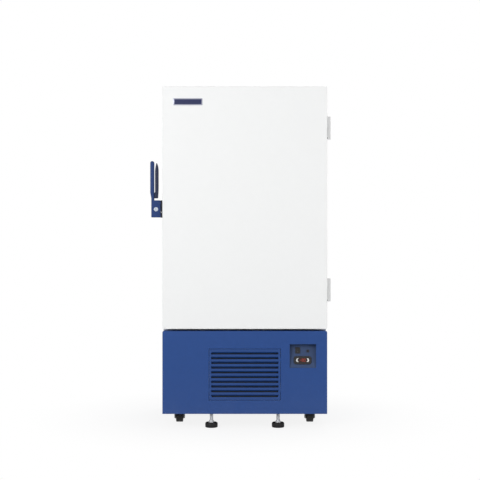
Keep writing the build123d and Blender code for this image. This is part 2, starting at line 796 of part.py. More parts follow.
# Grille: a moulded panel whose ten slots each have a blade that slopes down behind them;
# the slots in the top and bottom rows have rounded outer corners
slot_rows = [grille_centre + slot_pitch * (index - (grille_slots - 1) / 2)
             for index in range(grille_slots)]
grille_back = door_front + grille_flange
clip_reach = grille_reveal - touch
clip_height = 20
with BuildPart() as grille:
    with BuildSketch(front_plane(grille_back)):
        with Locations((0, grille_centre)):
            Rectangle(grille_width, grille_height)
    extrude(amount=grille_flange)
    with BuildSketch(front_plane(grille_back)):
        with Locations((0, grille_centre)):
            Rectangle(grille_width - 2 * grille_sheet, grille_height - 2 * grille_sheet)
    extrude(amount=grille_flange - grille_sheet, mode=Mode.SUBTRACT)
    with BuildSketch(front_plane(door_front + grille_sheet)) as slots:
        with Locations([(0, row) for row in slot_rows]):
            Rectangle(slot_width, slot_height)
        outer_corners = slots.vertices().group_by(Axis.Y)
        fillet(outer_corners[0] + outer_corners[-1], slot_height * 0.6)
    extrude(amount=grille_sheet, mode=Mode.SUBTRACT)
    with BuildSketch(side_plane(-slot_width / 2)):
        for row in slot_rows:
            with BuildLine():
                Polyline((door_front + grille_sheet, row + slot_height / 2),
                         (door_front + grille_sheet, row + slot_height / 2 + grille_sheet),
                         (door_front + louvre_reach + grille_sheet / 2, row + grille_sheet / 2),
                         (door_front + louvre_reach + grille_sheet / 2, row - grille_sheet / 2),
                         (door_front + grille_sheet, row + slot_height / 2))
            make_face()
    extrude(amount=slot_width)
    with BuildSketch(front_plane(grille_back)):
        with Locations((0, grille_centre)):
            with GridLocations(grille_width + clip_reach, grille_height * 0.6, 2, 2):
                Rectangle(clip_reach, clip_height)
    extrude(amount=grille_flange - gap)
save(grille, "grille")

with BuildPart() as air_filter:
    with BuildSketch(front_plane(grille_back + filter_thickness)):
        with Locations((0, grille_centre)):
            Rectangle(grille_width - 2 * grille_sheet, grille_height - 2 * grille_sheet)
    extrude(amount=filter_thickness)
save(air_filter, "air_filter")

# Control recess: a sheet tray whose floor slopes out to the front, with its control openings
slope = atan2(tray_deep - tray_shallow, tray_height)
tray_floor_y = door_front + (tray_deep + tray_shallow) / 2
tray_middle_z = tray_bottom + tray_height / 2
tray_floor = Plane(origin=(tray_centre_x, tray_floor_y, tray_middle_z), x_dir=(1, 0, 0),
                   z_dir=(0, -cos(slope), sin(slope)))
recess_floor = [(door_front, tray_bottom), (door_front + tray_shallow, tray_bottom),
                (door_front + tray_deep, tray_top), (door_front, tray_top)]
tray_margin = 2 * sheet
with BuildPart() as control_tray:
    with BuildSketch(side_plane(tray_centre_x - tray_width / 2 - sheet)):
        with BuildLine():
            Polyline((door_front + sheet + gap, tray_bottom - sheet),
                     (door_front + tray_shallow + tray_margin, tray_bottom - sheet),
                     (door_front + tray_deep + tray_margin, tray_top + sheet),
                     (door_front + sheet + gap, tray_top + sheet),
                     (door_front + sheet + gap, tray_bottom - sheet))
        make_face()
    extrude(amount=tray_width + 2 * sheet)
    with BuildSketch(side_plane(tray_centre_x - tray_width / 2)):
        with BuildLine():
            Polyline(*recess_floor, close=True)
        make_face()
    extrude(amount=tray_width, mode=Mode.SUBTRACT)
    with BuildSketch(tray_floor.offset(-tray_deep)):
        with Locations(rocker_place):
            Rectangle(rocker_size[0] - 3, rocker_size[1] - 3)
        with Locations(key_place):
            Circle(key_radius - 1)
        with Locations(display_place):
            Rectangle(display_size[0] - 10, display_size[1] - 10)
    extrude(amount=tray_deep, mode=Mode.SUBTRACT)
save(control_tray, "control_tray")

# Housings in the tray: rocker frame, key switch collar, and the rounded controller body with its
# window and the pockets of its two crescent keys
rocker_rim = 3.5
rocker_hole = (rocker_size[0] - 2 * rocker_rim, rocker_size[1] - 2 * rocker_rim)
rocker_arc = rocker_hole[1] / 2 - gap
rocker_depth = rocker_arc + gap
body_depth = 20
key_plug = key_radius * 0.7
key_pocket = key_travel + 3
window_size = (44, 26)
window_depth = 1.5
crescent_sides = {"display_key_left": -1, "display_key_right": 1}


def draw_crescent(side, margin):
    """A thick bracket-shaped crescent that bulges outwards, on the sketch that is open."""
    middle = (display_place[0] + side * (crescent_spread - 6), display_place[1])
    inner = (middle[0] - side * crescent_size / 2, middle[1])
    with Locations(middle):
        Circle(crescent_size + margin)
    with Locations(inner):
        Circle(crescent_size * 0.8 - margin, mode=Mode.SUBTRACT)
    with Locations((middle[0] - side * (crescent_size + 2 + margin), middle[1])):
        Rectangle(2 * crescent_size, 3 * crescent_size, mode=Mode.SUBTRACT)


with BuildPart() as control_housings:
    with BuildSketch(tray_floor):
        with Locations(rocker_place):
            RectangleRounded(*rocker_size, 2)
        with Locations(key_place):
            Circle(key_radius)
    extrude(amount=display_proud / 2)
    with BuildSketch(tray_floor):
        with Locations(display_place):
            RectangleRounded(*display_size, display_size[1] / 3)
    extrude(amount=display_proud)
    upper_face = control_housings.faces().sort_by(Axis((0, 0, 0), tray_floor.z_dir))[-1]
    fillet(upper_face.edges(), 2)
    with BuildSketch(tray_floor.offset(-body_depth)):
        with Locations(rocker_place):
            Rectangle(rocker_size[0] - 4, rocker_size[1] - 4)
        with Locations(key_place):
            Circle(key_radius - 1 - touch)
        with Locations(display_place):
            Rectangle(display_size[0] - 11, display_size[1] - 11)
    extrude(amount=body_depth)
    with BuildSketch(tray_floor.offset(-rocker_depth)):
        with Locations(rocker_place):
            Rectangle(*rocker_hole)
    extrude(amount=rocker_depth + display_proud, mode=Mode.SUBTRACT)
    with BuildSketch(tray_floor.offset(-body_depth / 2)):
        with Locations(key_place):
            Circle(key_plug + running)
    extrude(amount=body_depth, mode=Mode.SUBTRACT)
    with BuildSketch(tray_floor.offset(display_proud - window_depth)):
        with Locations(display_place):
            Rectangle(*window_size)
    extrude(amount=window_depth, mode=Mode.SUBTRACT)
    for side in crescent_sides.values():
        with BuildSketch(tray_floor.offset(display_proud - key_pocket - touch)):
            draw_crescent(side, touch)
        extrude(amount=key_pocket + touch, mode=Mode.SUBTRACT)
save(control_housings, "control_housings")

for name, side in crescent_sides.items():
    with BuildPart() as crescent_key:
        with BuildSketch(tray_floor.offset(display_proud - 3)):
            draw_crescent(side, 0)
        extrude(amount=3 + gap)
    save(crescent_key, name)

# Power rocker: a drum segment with a shallow V on top, resting on its lower end
rocker_axis = tray_floor.offset(0).origin + tray_floor.x_dir * rocker_place[0]
rocker_axis = rocker_axis + tray_floor.y_dir * rocker_place[1]
rocker_tilted = radians(rocker_tilt)
rocker_width = rocker_hole[0] - 2 * touch
rocker_side = Plane(origin=rocker_axis - tray_floor.x_dir * rocker_width / 2,
                    x_dir=(tray_floor.y_dir * cos(rocker_tilted)
                           + tray_floor.z_dir * sin(rocker_tilted)),
                    z_dir=(1, 0, 0))
rocker_high = 4
with BuildPart() as power_rocker:
    with BuildSketch(rocker_side):
        Circle(rocker_arc)
        with BuildLine():
            Polyline((-rocker_arc, -rocker_arc * 0.6), (rocker_arc, -rocker_arc * 0.6),
                     (rocker_arc, rocker_high), (0, rocker_high - 1.5),
                     (-rocker_arc, rocker_high), (-rocker_arc, -rocker_arc * 0.6))
        make_face(mode=Mode.INTERSECT)
    extrude(amount=rocker_width)
save(power_rocker, "power_rocker")

# Key switch: a turning plug with a slot across it
with BuildPart() as control_key:
    with BuildSketch(tray_floor.offset(-body_depth / 2 + gap)):
        with Locations(key_place):
            Circle(key_plug)
    extrude(amount=body_depth / 2 + display_proud / 2)
    with BuildSketch(tray_floor.offset(display_proud / 2 - 2)):
        with Locations(key_place):
            Rectangle(1.6, key_plug * 1.3)
    extrude(amount=4, mode=Mode.SUBTRACT)
save(control_key, "control_key")

# Condenser: a fin pack between two end plates that stand on the pan, with a header at each end
condenser_width, condenser_depth, condenser_height = condenser_size
condenser_front = foot_front + stud_radius + 7
condenser_back = condenser_front + condenser_depth
condenser_low = grille_centre - condenser_height / 2
fin_pitch = condenser_width / condenser_fins
header_radius = 8
header_y = (condenser_front + condenser_back) / 2
header_x = condenser_width / 2 + frame_sheet + header_radius
with BuildPart() as condenser:
    with BuildSketch(level(condenser_low)):
        rectangle(-condenser_width / 2, condenser_width / 2, condenser_front, condenser_back)
        for face in (condenser_front, condenser_back):
            with Locations((0, face)):
                with GridLocations(fin_pitch, 1, condenser_fins, 1):
                    Rectangle(fin_pitch * 0.6, condenser_depth * 0.7, mode=Mode.SUBTRACT)
    extrude(amount=condenser_height)
    with BuildSketch(level(frame_top)):
        for side in (-1, 1):
            edge = side * (condenser_width / 2 + frame_sheet / 2)
            rectangle(edge - frame_sheet / 2, edge + frame_sheet / 2, condenser_front,
                      condenser_back)
    extrude(amount=condenser_low + condenser_height - frame_top)
    with BuildSketch(level(condenser_low)):
        with Locations((-header_x + 1, header_y), (header_x - 1, header_y)):
            Circle(header_radius)
    extrude(amount=condenser_height - 4 * header_radius)
save(condenser, "condenser")

# Fan shroud: a plate behind the condenser with a short duct ring
ring_wall = 2
ring_radius = fan_radius + 4
ring_depth = 25
shroud_front = condenser_back
shroud_back = shroud_front + ring_wall
ring_back = shroud_back + ring_depth
with BuildPart() as fan_shroud:
    with BuildSketch(front_plane(shroud_back)):
        rectangle(-condenser_width / 2, condenser_width / 2, frame_top,
                  condenser_low + condenser_height)
    extrude(amount=ring_wall)
    with BuildSketch(front_plane(ring_back)):
        with Locations((0, grille_centre)):
            Circle(ring_radius + ring_wall)
    extrude(amount=ring_depth)
    with BuildSketch(front_plane(ring_back)):
        with Locations((0, grille_centre)):
            Circle(ring_radius)
    extrude(amount=ring_depth + ring_wall, mode=Mode.SUBTRACT)
save(fan_shroud, "fan_shroud")

# Fan motor on a cross of two bars, whose posts stand on the shroud
cross_front = ring_back + 14
cross_bar = 4
post_reach = ring_radius + 14
post_radius = 6
shaft_radius = 4
hub_radius = 28
hub_front = shroud_back + 3
hub_depth = ring_depth - 5
with BuildPart() as fan_motor:
    with BuildSketch(front_plane(cross_front + cross_bar)):
        with Locations((0, grille_centre)):
            for turn in (45, 135):
                Rectangle(2 * (post_reach + post_radius), 3 * cross_bar, rotation=turn)
    extrude(amount=cross_bar)
    with BuildSketch(front_plane(cross_front)):
        with Locations((0, grille_centre)):
            with PolarLocations(post_reach, 4, start_angle=45):
                Circle(post_radius)
    extrude(amount=cross_front - shroud_back)
    with BuildSketch(front_plane(cross_front + motor_length)):
        with Locations((0, grille_centre)):
            Circle(motor_radius)
    extrude(amount=motor_length)
    fillet(fan_motor.faces().sort_by(Axis.Y)[-1].edges(), motor_radius / 4)
    with BuildSketch(front_plane(cross_front)):
        with Locations((0, grille_centre)):
            Circle(shaft_radius)
    extrude(amount=cross_front - hub_front - 2)
save(fan_motor, "fan_motor")

# Fan: a hub on the shaft with twisted blades, each lofted from a steep root to a flatter tip
blade_root = Plane(origin=(0, hub_front + hub_depth / 2, grille_centre + hub_radius - 3),
                   x_dir=(1, 0, 0), z_dir=(0, 0, 1))
blade_tip = blade_root.offset(fan_radius - hub_radius + 2)
with BuildPart() as one_blade:
    with BuildSketch(blade_root):
        Rectangle(26, 3, rotation=35)
    with BuildSketch(blade_tip):
        Rectangle(54, 2, rotation=18)
    loft()
with BuildPart() as fan_blade:
    with BuildSketch(front_plane(hub_front + hub_depth)):
        with Locations((0, grille_centre)):
            Circle(hub_radius)
    extrude(amount=hub_depth)
    axle_line = Axis((0, 0, grille_centre), (0, 1, 0))
    for index in range(fan_blades):
        add(one_blade.part.rotate(axle_line, 360 / fan_blades * index))
    with BuildSketch(front_plane(hub_front + hub_depth)):
        with Locations((0, grille_centre)):
            Circle(shaft_radius + running)
    extrude(amount=hub_depth, mode=Mode.SUBTRACT)
save(fan_blade, "fan_blade")

# Compressors: two hermetic cans with domed ends, each on a foot plate with rubber feet
compressor_y = 330
mount_rise = 16
compressor_low = frame_top + mount_rise
compressor_top = compressor_low + compressor_height
stub_offset = 40
stub_top = compressor_top + 20


def build_can(x, y, radius, low, high, stubs):
    """An upright vessel with domed ends, turned from half its outline, and its pipe stubs."""
    dome = radius * 0.6
    with BuildPart() as can:
        with BuildSketch(Plane(origin=(x, y, 0), x_dir=(1, 0, 0), z_dir=(0, -1, 0))) as outline:
            rectangle(0, radius, low, high)
            fillet(outline.vertices().group_by(Axis.X)[-1], dome)
        revolve(axis=Axis((x, y, 0), (0, 0, 1)))
        for stub_x, stub_y, top in stubs:
            with BuildSketch(level(high - dome)):
                with Locations((stub_x, stub_y)):
                    Circle(stub_radius)
            extrude(amount=top - high + dome)
    return can


with BuildPart() as compressors:
    for x in (-compressor_spacing / 2, compressor_spacing / 2):
        stubs = [(x - stub_offset, compressor_y, stub_top), (x + stub_offset, compressor_y, stub_top)]
        add(build_can(x, compressor_y, compressor_radius, compressor_low, compressor_top, stubs).part)
        with BuildSketch(level(compressor_low)):
            with Locations((x, compressor_y)):
                Rectangle(compressor_radius * 1.9, compressor_radius * 1.5)
        extrude(amount=frame_sheet)
        with BuildSketch(level(frame_top)):
            with Locations((x, compressor_y)):
                with GridLocations(compressor_radius * 1.6, compressor_radius * 1.2, 2, 2):
                    Circle(mount_rise * 0.7)
        extrude(amount=mount_rise)
save(compressors, "compressors")

# Oil separator and two filter driers, upright cans on the pan between and behind the compressors
separator_radius = 38
separator_top = 360
drier_radius = 24
drier_y = 520
drier_top = 300
with BuildPart() as line_vessels:
    add(build_can(0, compressor_y, separator_radius, frame_top, separator_top,
                  [(-stub_offset / 2, compressor_y, stub_top),
                   (stub_offset / 2, compressor_y, stub_top)]).part)
    for x in (-stub_offset, stub_offset):
        add(build_can(x, drier_y, drier_radius, frame_top, drier_top,
                      [(x, drier_y, drier_top + stub_offset)]).part)
save(line_vessels, "line_vessels")

# Expansion tank and the foam-jacketed cascade heat exchanger at the rear
rear_row = 620
rear_row_x = 250
tank_radius = 95
tank_top = 440
with BuildPart() as expansion_tank:
    add(build_can(rear_row_x, rear_row, tank_radius, frame_top, tank_top,
                  [(rear_row_x, rear_row, tank_top + stub_offset / 2)]).part)
save(expansion_tank, "expansion_tank")

exchanger_size = (200, 160)
exchanger_top = 440
with BuildPart() as cascade_exchanger:
    with BuildSketch(level(frame_top)) as jacket:
        with Locations((-rear_row_x, rear_row)):
            Rectangle(*exchanger_size)
        fillet(jacket.vertices(), 20)
    extrude(amount=exchanger_top - frame_top)
    with BuildSketch(level(exchanger_top)):
        with Locations((-rear_row_x - stub_offset, rear_row), (-rear_row_x + stub_offset, rear_row)):
            Circle(stub_radius)
    extrude(amount=stub_offset / 2)
save(cascade_exchanger, "cascade_exchanger")

# Refrigerant lines: copper tubes with large bends, from stub to stub at three heights
line_heights = (stub_top + 35, stub_top + 60, stub_top + 85)
bend = 18
header_top = condenser_low + condenser_height - 4 * header_radius
right_x = compressor_spacing / 2
routes = [
    [(right_x - stub_offset, compressor_y, stub_top),
     (right_x - stub_offset, compressor_y, line_heights[0]),
     (stub_offset / 2, compressor_y, line_heights[0]),
     (stub_offset / 2, compressor_y, stub_top)],
    [(-stub_offset / 2, compressor_y, stub_top),
     (-stub_offset / 2, compressor_y, line_heights[1]),
     (-header_x, compressor_y - 60, line_heights[1]),
     (-header_x, header_y, line_heights[1]),
     (-header_x, header_y, header_top)],
    [(-right_x + stub_offset, compressor_y, stub_top),
     (-right_x + stub_offset, compressor_y, line_heights[0]),
     (-rear_row_x + stub_offset, rear_row, line_heights[2]),
     (-rear_row_x + stub_offset, rear_row, exchanger_top + stub_offset / 2)],
    [(header_x, header_y, header_top),
     (header_x, header_y, line_heights[2]),
     (header_x + stub_offset, compressor_y, line_heights[2]),
     (stub_offset, drier_y, line_heights[2]),
     (stub_offset, drier_y, drier_top + stub_offset)],
    [(-stub_offset, drier_y, drier_top + stub_offset),
     (-stub_offset, drier_y, line_heights[1]),
     (rear_row_x, rear_row, line_heights[1] + 25),
     (rear_row_x, rear_row, tank_top + stub_offset / 2)],
]
with BuildPart() as refrigerant_lines:
    for route in routes:
        with BuildLine() as run:
            FilletPolyline(*route, radius=bend)
        with BuildSketch(Plane(origin=route[0], z_dir=(0, 0, 1))):
            Circle(tube_radius)
        sweep(path=run.line)
save(refrigerant_lines, "refrigerant_lines")

# Electrical box: a folded sheet box with a lid, on the pan behind the control recess
with BuildPart() as electrical_box:
    with BuildSketch(level(frame_top)) as box:
        rectangle(half - 200, half - 20, 60, 200)
        fillet(box.vertices(), edge_radius)
    extrude(amount=220)
    with BuildSketch(level(frame_top + 220)):
        rectangle(half - 203, half - 17, 57, 203)
    extrude(amount=frame_sheet)
save(electrical_box, "electrical_box")

# Wall spacers on the cabinet's back: two upright hat channels
with BuildPart() as rear_spacers:
    for x in (-half * 0.65, half * 0.65):
        with BuildSketch(level(base_top + spacer_width)):
            rectangle(x - spacer_width / 2, x + spacer_width / 2, cabinet_depth, rear_end)
            rectangle(x - spacer_width / 2 + frame_sheet, x + spacer_width / 2 - frame_sheet,
                      cabinet_depth, rear_end - frame_sheet, mode=Mode.SUBTRACT)
            for side in (-1, 1):
                flange = x + side * spacer_width * 0.65
                rectangle(flange - spacer_width * 0.15, flange + spacer_width * 0.15,
                          cabinet_depth, cabinet_depth + frame_sheet)
        extrude(amount=cabinet_top - base_top - 2 * spacer_width)
save(rear_spacers, "rear_spacers")

# Levelling feet: turned pad, flared nut and stud, screwed up into the bosses of the frame
flare_top = pad_height + 17
foot_outline = [
    (0, 0), (pad_radius - 3, 0), (pad_radius, 4), (pad_radius, pad_height - 8),
    (pad_radius - 6, pad_height), (stud_radius + 9, pad_height),
    (stud_radius + 3, pad_height + 6), (stud_radius + 2, flare_top), (stud_radius, flare_top),
    (stud_radius, frame_top + pad_height), (0, frame_top + pad_height), (0, 0),
]
for corner, (x, y) in zip(corner_names, foot_places):
    with BuildPart() as levelling_foot:
        with BuildSketch(Plane(origin=(x, y, 0), x_dir=(1, 0, 0), z_dir=(0, -1, 0))):
            with BuildLine():
                Polyline(*foot_outline)
            make_face()
        revolve(axis=Axis((x, y, 0), (0, 0, 1)))
    save(levelling_foot, f"foot_{corner}")

# Casters: top plate with race and kingpin on the frame, then fork and wheel for each corner
plate_size = (90, 80)
axle_z = caster_lift + wheel_radius
crown_low = axle_z + wheel_radius + 3.5
crown = 7
race_low = crown_low + crown + touch
with BuildPart() as caster_plates:
    with BuildSketch(level(frame_level - frame_sheet)) as plates:
        with Locations(caster_places):
            RectangleRounded(*plate_size, edge_radius)
    extrude(amount=frame_sheet)
    with BuildSketch(level(race_low)):
        with Locations(caster_places):
            Circle(race_radius)
    extrude(amount=frame_level - frame_sheet - race_low)
    with BuildSketch(level(crown_low - 4)):
        with Locations(caster_places):
            Circle(kingpin)
    extrude(amount=race_low - crown_low + 4)
save(caster_plates, "caster_plates")

leg = 3
leg_gap = 2
leg_eye = 14
cap_radius = 12
cap_depth = 6
leg_inner = wheel_width / 2 + leg_gap


def build_fork(x, y):
    """Crown with the kingpin hole, two legs that narrow to the axle, and domed axle caps."""
    axle_y = y + caster_trail
    with BuildPart() as fork:
        with BuildSketch(level(crown_low)):
            with Locations((x, y)):
                Circle(leg_inner + leg)
            rectangle(x - leg_inner - leg, x + leg_inner + leg, y, axle_y)
        extrude(amount=crown)
        for leg_x in (x - leg_inner - leg, x + leg_inner):
            with BuildSketch(side_plane(leg_x)):
                with BuildLine():
                    Polyline((y - leg_eye, crown_low + crown), (axle_y, crown_low + crown),
                             (axle_y + leg_eye, axle_z), (axle_y, axle_z - leg_eye),
                             (axle_y - leg_eye, axle_z), (y - leg_eye, crown_low + crown))
                make_face()
                with Locations((axle_y, axle_z)):
                    Circle(leg_eye)
            extrude(amount=leg)
        with BuildSketch(side_plane(x - leg_inner - leg)):
            with Locations((axle_y, axle_z)):
                Circle(axle_radius)
        extrude(amount=2 * (leg_inner + leg))
        with BuildSketch(side_plane(x - leg_inner - leg - cap_depth)):
            with Locations((axle_y, axle_z)):
                Circle(cap_radius)
        extrude(amount=cap_depth)
        with BuildSketch(side_plane(x + leg_inner + leg)):
            with Locations((axle_y, axle_z)):
                Circle(cap_radius)
        extrude(amount=cap_depth)
        fillet(fork.faces().sort_by(Axis.X)[0].edges(), cap_depth / 2)
        fillet(fork.faces().sort_by(Axis.X)[-1].edges(), cap_depth / 2)
        with BuildSketch(level(crown_low)):
            with Locations((x, y)):
                Circle(kingpin + running)
        extrude(amount=crown, mode=Mode.SUBTRACT)
    return fork


def build_wheel(x, y):
    """A solid wheel with rounded tread corners and a recessed hub on each side."""
    axle_y = y + caster_trail
    side = wheel_width / 2
    with BuildPart() as wheel:
        with BuildSketch(Plane(origin=(x, axle_y, axle_z), x_dir=(1, 0, 0), z_dir=(0, -1, 0))) as rim:
            rectangle(-side, side, axle_radius + running, wheel_radius)
            fillet(rim.vertices().group_by(Axis.Y)[-1], 4)
            for hub_side in (-1, 1):
                with Locations((hub_side * side, (wheel_radius + axle_radius) / 2 + 1)):
                    Rectangle(5, wheel_radius * 0.4, mode=Mode.SUBTRACT)
        revolve(axis=Axis((x, axle_y, axle_z), (1, 0, 0)))
    return wheel


for corner, (x, y) in zip(corner_names, caster_places):
    save(build_fork(x, y), f"caster_fork_{corner}")
    save(build_wheel(x, y), f"caster_wheel_{corner}")
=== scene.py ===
# %% [markdown]
# # Dressing an ultra low temperature freezer
# The sheet metal, hinges, latch, casters and feet come ready made, at their real size, in a fixed
# frame. This lesson gives them their finishes and adds what is too fine for the construction:
# screws, threads, the numerals of the display and the blade of the grip.
# All lengths are metres. The door faces -Y, and Z is up from the floor.

# %% Load the frame
import json
import math

import bmesh
import bpy
from mathutils import Matrix, Vector


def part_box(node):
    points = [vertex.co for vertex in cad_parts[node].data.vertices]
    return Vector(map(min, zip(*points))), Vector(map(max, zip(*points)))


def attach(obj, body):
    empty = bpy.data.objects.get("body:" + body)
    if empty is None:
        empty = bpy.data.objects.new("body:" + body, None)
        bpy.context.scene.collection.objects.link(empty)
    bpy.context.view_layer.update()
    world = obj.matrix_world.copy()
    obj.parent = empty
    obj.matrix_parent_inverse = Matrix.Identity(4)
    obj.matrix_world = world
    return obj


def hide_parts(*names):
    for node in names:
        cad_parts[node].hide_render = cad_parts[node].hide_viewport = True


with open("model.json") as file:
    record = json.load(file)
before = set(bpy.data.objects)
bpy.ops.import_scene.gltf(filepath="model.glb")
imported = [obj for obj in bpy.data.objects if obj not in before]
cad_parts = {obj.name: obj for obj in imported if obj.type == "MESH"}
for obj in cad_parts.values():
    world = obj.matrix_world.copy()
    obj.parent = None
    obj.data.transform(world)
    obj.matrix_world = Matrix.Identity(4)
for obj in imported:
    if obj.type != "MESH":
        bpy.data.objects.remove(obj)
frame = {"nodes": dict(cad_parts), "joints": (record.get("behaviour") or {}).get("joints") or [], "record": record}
nodes = frame["nodes"]
joint_of = {joint["name"]: joint for joint in frame["joints"]}
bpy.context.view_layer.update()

# %% [markdown]
# ## The view
# The picture was taken square on to the door from several metres away, so the sides of the
# cabinet stay hidden. A long lens does the same here. The lens is worked out from the width of
# the picture at the door, rather than tried by hand, so that the door fills the same pixels.

# %% Camera
picture_width = 2.736
camera_distance = 6.5
camera_height = 1.074
camera_offset = -0.0065
sensor_width = 36
farthest_seen = 60
door_low, door_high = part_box("door_skin")
camera = bpy.data.objects.new("camera", bpy.data.cameras.new("camera"))
camera.data.sensor_width = sensor_width
camera.data.lens = sensor_width * camera_distance / picture_width
camera.data.clip_end = farthest_seen
camera.location = (camera_offset, door_low.y - camera_distance, camera_height)
camera.rotation_euler = (math.pi / 2, 0, 0)
bpy.context.scene.collection.objects.link(camera)
bpy.context.scene.camera = camera
bpy.context.scene.view_settings.view_transform = "Standard"
print("lens", round(camera.data.lens, 1), "mm")

# %% [markdown]
# ## Nodes in few words
# The light, the floor and every finish are node trees. Two short functions keep them readable:
# one places a node and fills its inputs, with a plain value or with a link from another node,
# and the other does the same for a sum.

# %% Place a node, do a sum
def add_node(tree, kind, values=None, **settings):
    """A shader node whose inputs take sockets or plain values."""
    node = tree.nodes.new(kind)
    for name, setting in settings.items():
        setattr(node, name, setting)
    for label, value in (values or {}).items():
        if isinstance(value, bpy.types.NodeSocket):
            tree.links.new(value, node.inputs[label])
        else:
            node.inputs[label].default_value = value
    return node


def calculate(tree, operation, *terms):
    """A math node on sockets or plain numbers; gives its output socket."""
    return add_node(tree, "ShaderNodeMath", dict(enumerate(terms)), operation=operation).outputs[0]


# %% [markdown]
# ## Light and floor
# A studio picture of a white cabinet needs even light, or one side clips and the other turns grey.
# Most of it comes from the sky colour, and three large lamps add just enough direction to model
# the edges. What the camera, the mirrors and the glass see behind the object is plain white,
# which is set by the kind of ray and not by more light.

# %% World
def seen_rays(tree):
    """1 for rays from the camera, off mirrors and through glass, and 0 for all the others."""
    rays = tree.nodes.new("ShaderNodeLightPath").outputs
    direct = calculate(tree, "MAXIMUM", rays["Is Camera Ray"], rays["Is Glossy Ray"])
    return calculate(tree, "MAXIMUM", direct, rays["Is Transmission Ray"])


world_light = 0.40
world = bpy.data.worlds.new("studio")
world.use_nodes = True
bpy.context.scene.world = world
tree = world.node_tree
strength = add_node(tree, "ShaderNodeMapRange",
                    {"Value": seen_rays(tree), "To Min": world_light, "To Max": 1.0})
background = tree.nodes["Background"]
background.inputs["Color"].default_value = (1, 1, 1, 1)
tree.links.new(strength.outputs["Result"], background.inputs["Strength"])
print("world light", world_light)

# %% Lamps
middle = Vector((0, 0, 1.0))
lamp_width = 3.0


def hang_lamp(name, place, watts):
    """A square soft box that points at the middle of the freezer."""
    lamp = bpy.data.lights.new(name, "AREA")
    lamp.size = lamp_width
    lamp.energy = watts
    holder = bpy.data.objects.new(name, lamp)
    holder.location = place
    holder.rotation_euler = (middle - Vector(place)).to_track_quat("-Z", "Y").to_euler()
    bpy.context.scene.collection.objects.link(holder)
    print(name, watts, "W")


hang_lamp("key_lamp", (-3.4, -6.0, 3.0), 215)
hang_lamp("fill_lamp", (4.4, -5.0, 1.8), 80)
hang_lamp("rear_lamp", (1.5, 4.5, 3.6), 110)

# %% Floor
floor_half = 18
floor_mesh = bpy.data.meshes.new("floor")
floor_corners = [(floor_half * x, floor_half * y, 0)
                 for x, y in ((-1, -1), (1, -1), (1, 1), (-1, 1))]
floor_mesh.from_pydata(floor_corners, [], [(0, 1, 2, 3)])
floor = bpy.data.objects.new("floor", floor_mesh)
bpy.context.scene.collection.objects.link(floor)
print("floor", 2 * floor_half, "m wide")

# %% [markdown]
# ### Paper that keeps a shadow
# Studio paper has to melt into the white background and still carry the freezer's shadow. Where it
# is seen directly it therefore glows white, and near the freezer a share of real, lit paper is
# mixed in. That share fades out with the distance, so the paper has no visible end.

# %% Floor paper
shadow_core = 0.4
shadow_reach = 1.4
shadow_strength = 0.13
paper_white = 0.92
paper = bpy.data.materials.new("studio_paper")
paper.use_nodes = True
tree = paper.node_tree
tree.nodes.clear()
where = tree.nodes.new("ShaderNodeTexCoord")
distance = add_node(tree, "ShaderNodeVectorMath", {0: where.outputs["Object"]},
                    operation="LENGTH")
fade = add_node(tree, "ShaderNodeMapRange",
                {"Value": distance.outputs["Value"], "From Min": shadow_core,
                 "From Max": shadow_reach, "To Min": 1 - shadow_strength, "To Max": 1.0},
                interpolation_type="SMOOTHSTEP")
glow_share = calculate(tree, "MULTIPLY", seen_rays(tree), fade.outputs["Result"])
lit = add_node(tree, "ShaderNodeBsdfDiffuse",
               {"Color": (paper_white, paper_white, paper_white, 1)})
glow = tree.nodes.new("ShaderNodeEmission")
mix = add_node(tree, "ShaderNodeMixShader",
               {"Fac": glow_share, 1: lit.outputs[0], 2: glow.outputs[0]})
add_node(tree, "ShaderNodeOutputMaterial", {"Surface": mix.outputs[0]})
floor_mesh.materials.append(paper)
print("shadow keeps", shadow_strength, "of the lit paper")

# %% [markdown]
# ## Effects that several finishes share
# Powder coat, moulded plastic and plated steel differ in their numbers more than in their kind.
# Each effect is therefore one node group with named inputs, placed in a material as often as it
# is needed: change the group and every finish follows. The groups read the Object coordinates,
# so the grain stays on a piece when its door swings.

# %% A short way to build a group
FLOAT = "NodeSocketFloat"
VECTOR = "NodeSocketVector"


def new_group(name, inputs, outputs):
    """A shader group with its sockets, its input sockets and its output node."""
    group = bpy.data.node_groups.new(name, "ShaderNodeTree")
    for label, kind, value in inputs:
        socket = group.interface.new_socket(label, in_out="INPUT", socket_type=kind)
        socket.default_value = value
    for label, kind in outputs:
        group.interface.new_socket(label, in_out="OUTPUT", socket_type=kind)
    print("group", name, "with", len(inputs), "inputs")
    given = group.nodes.new("NodeGroupInput").outputs
    return group, given, group.nodes.new("NodeGroupOutput")


# %% [markdown]
# ### Surface height: orange peel, mould grain and brushing
# Cured powder flows into low soft cells a millimetre or two wide, a mould leaves a sharper grain
# under half a millimetre, and a brush leaves long lines. All three are noise. What differs is its
# size, how rough it is, and how far it is stretched along one direction. A second, far coarser
# noise tells where the colour drifts.

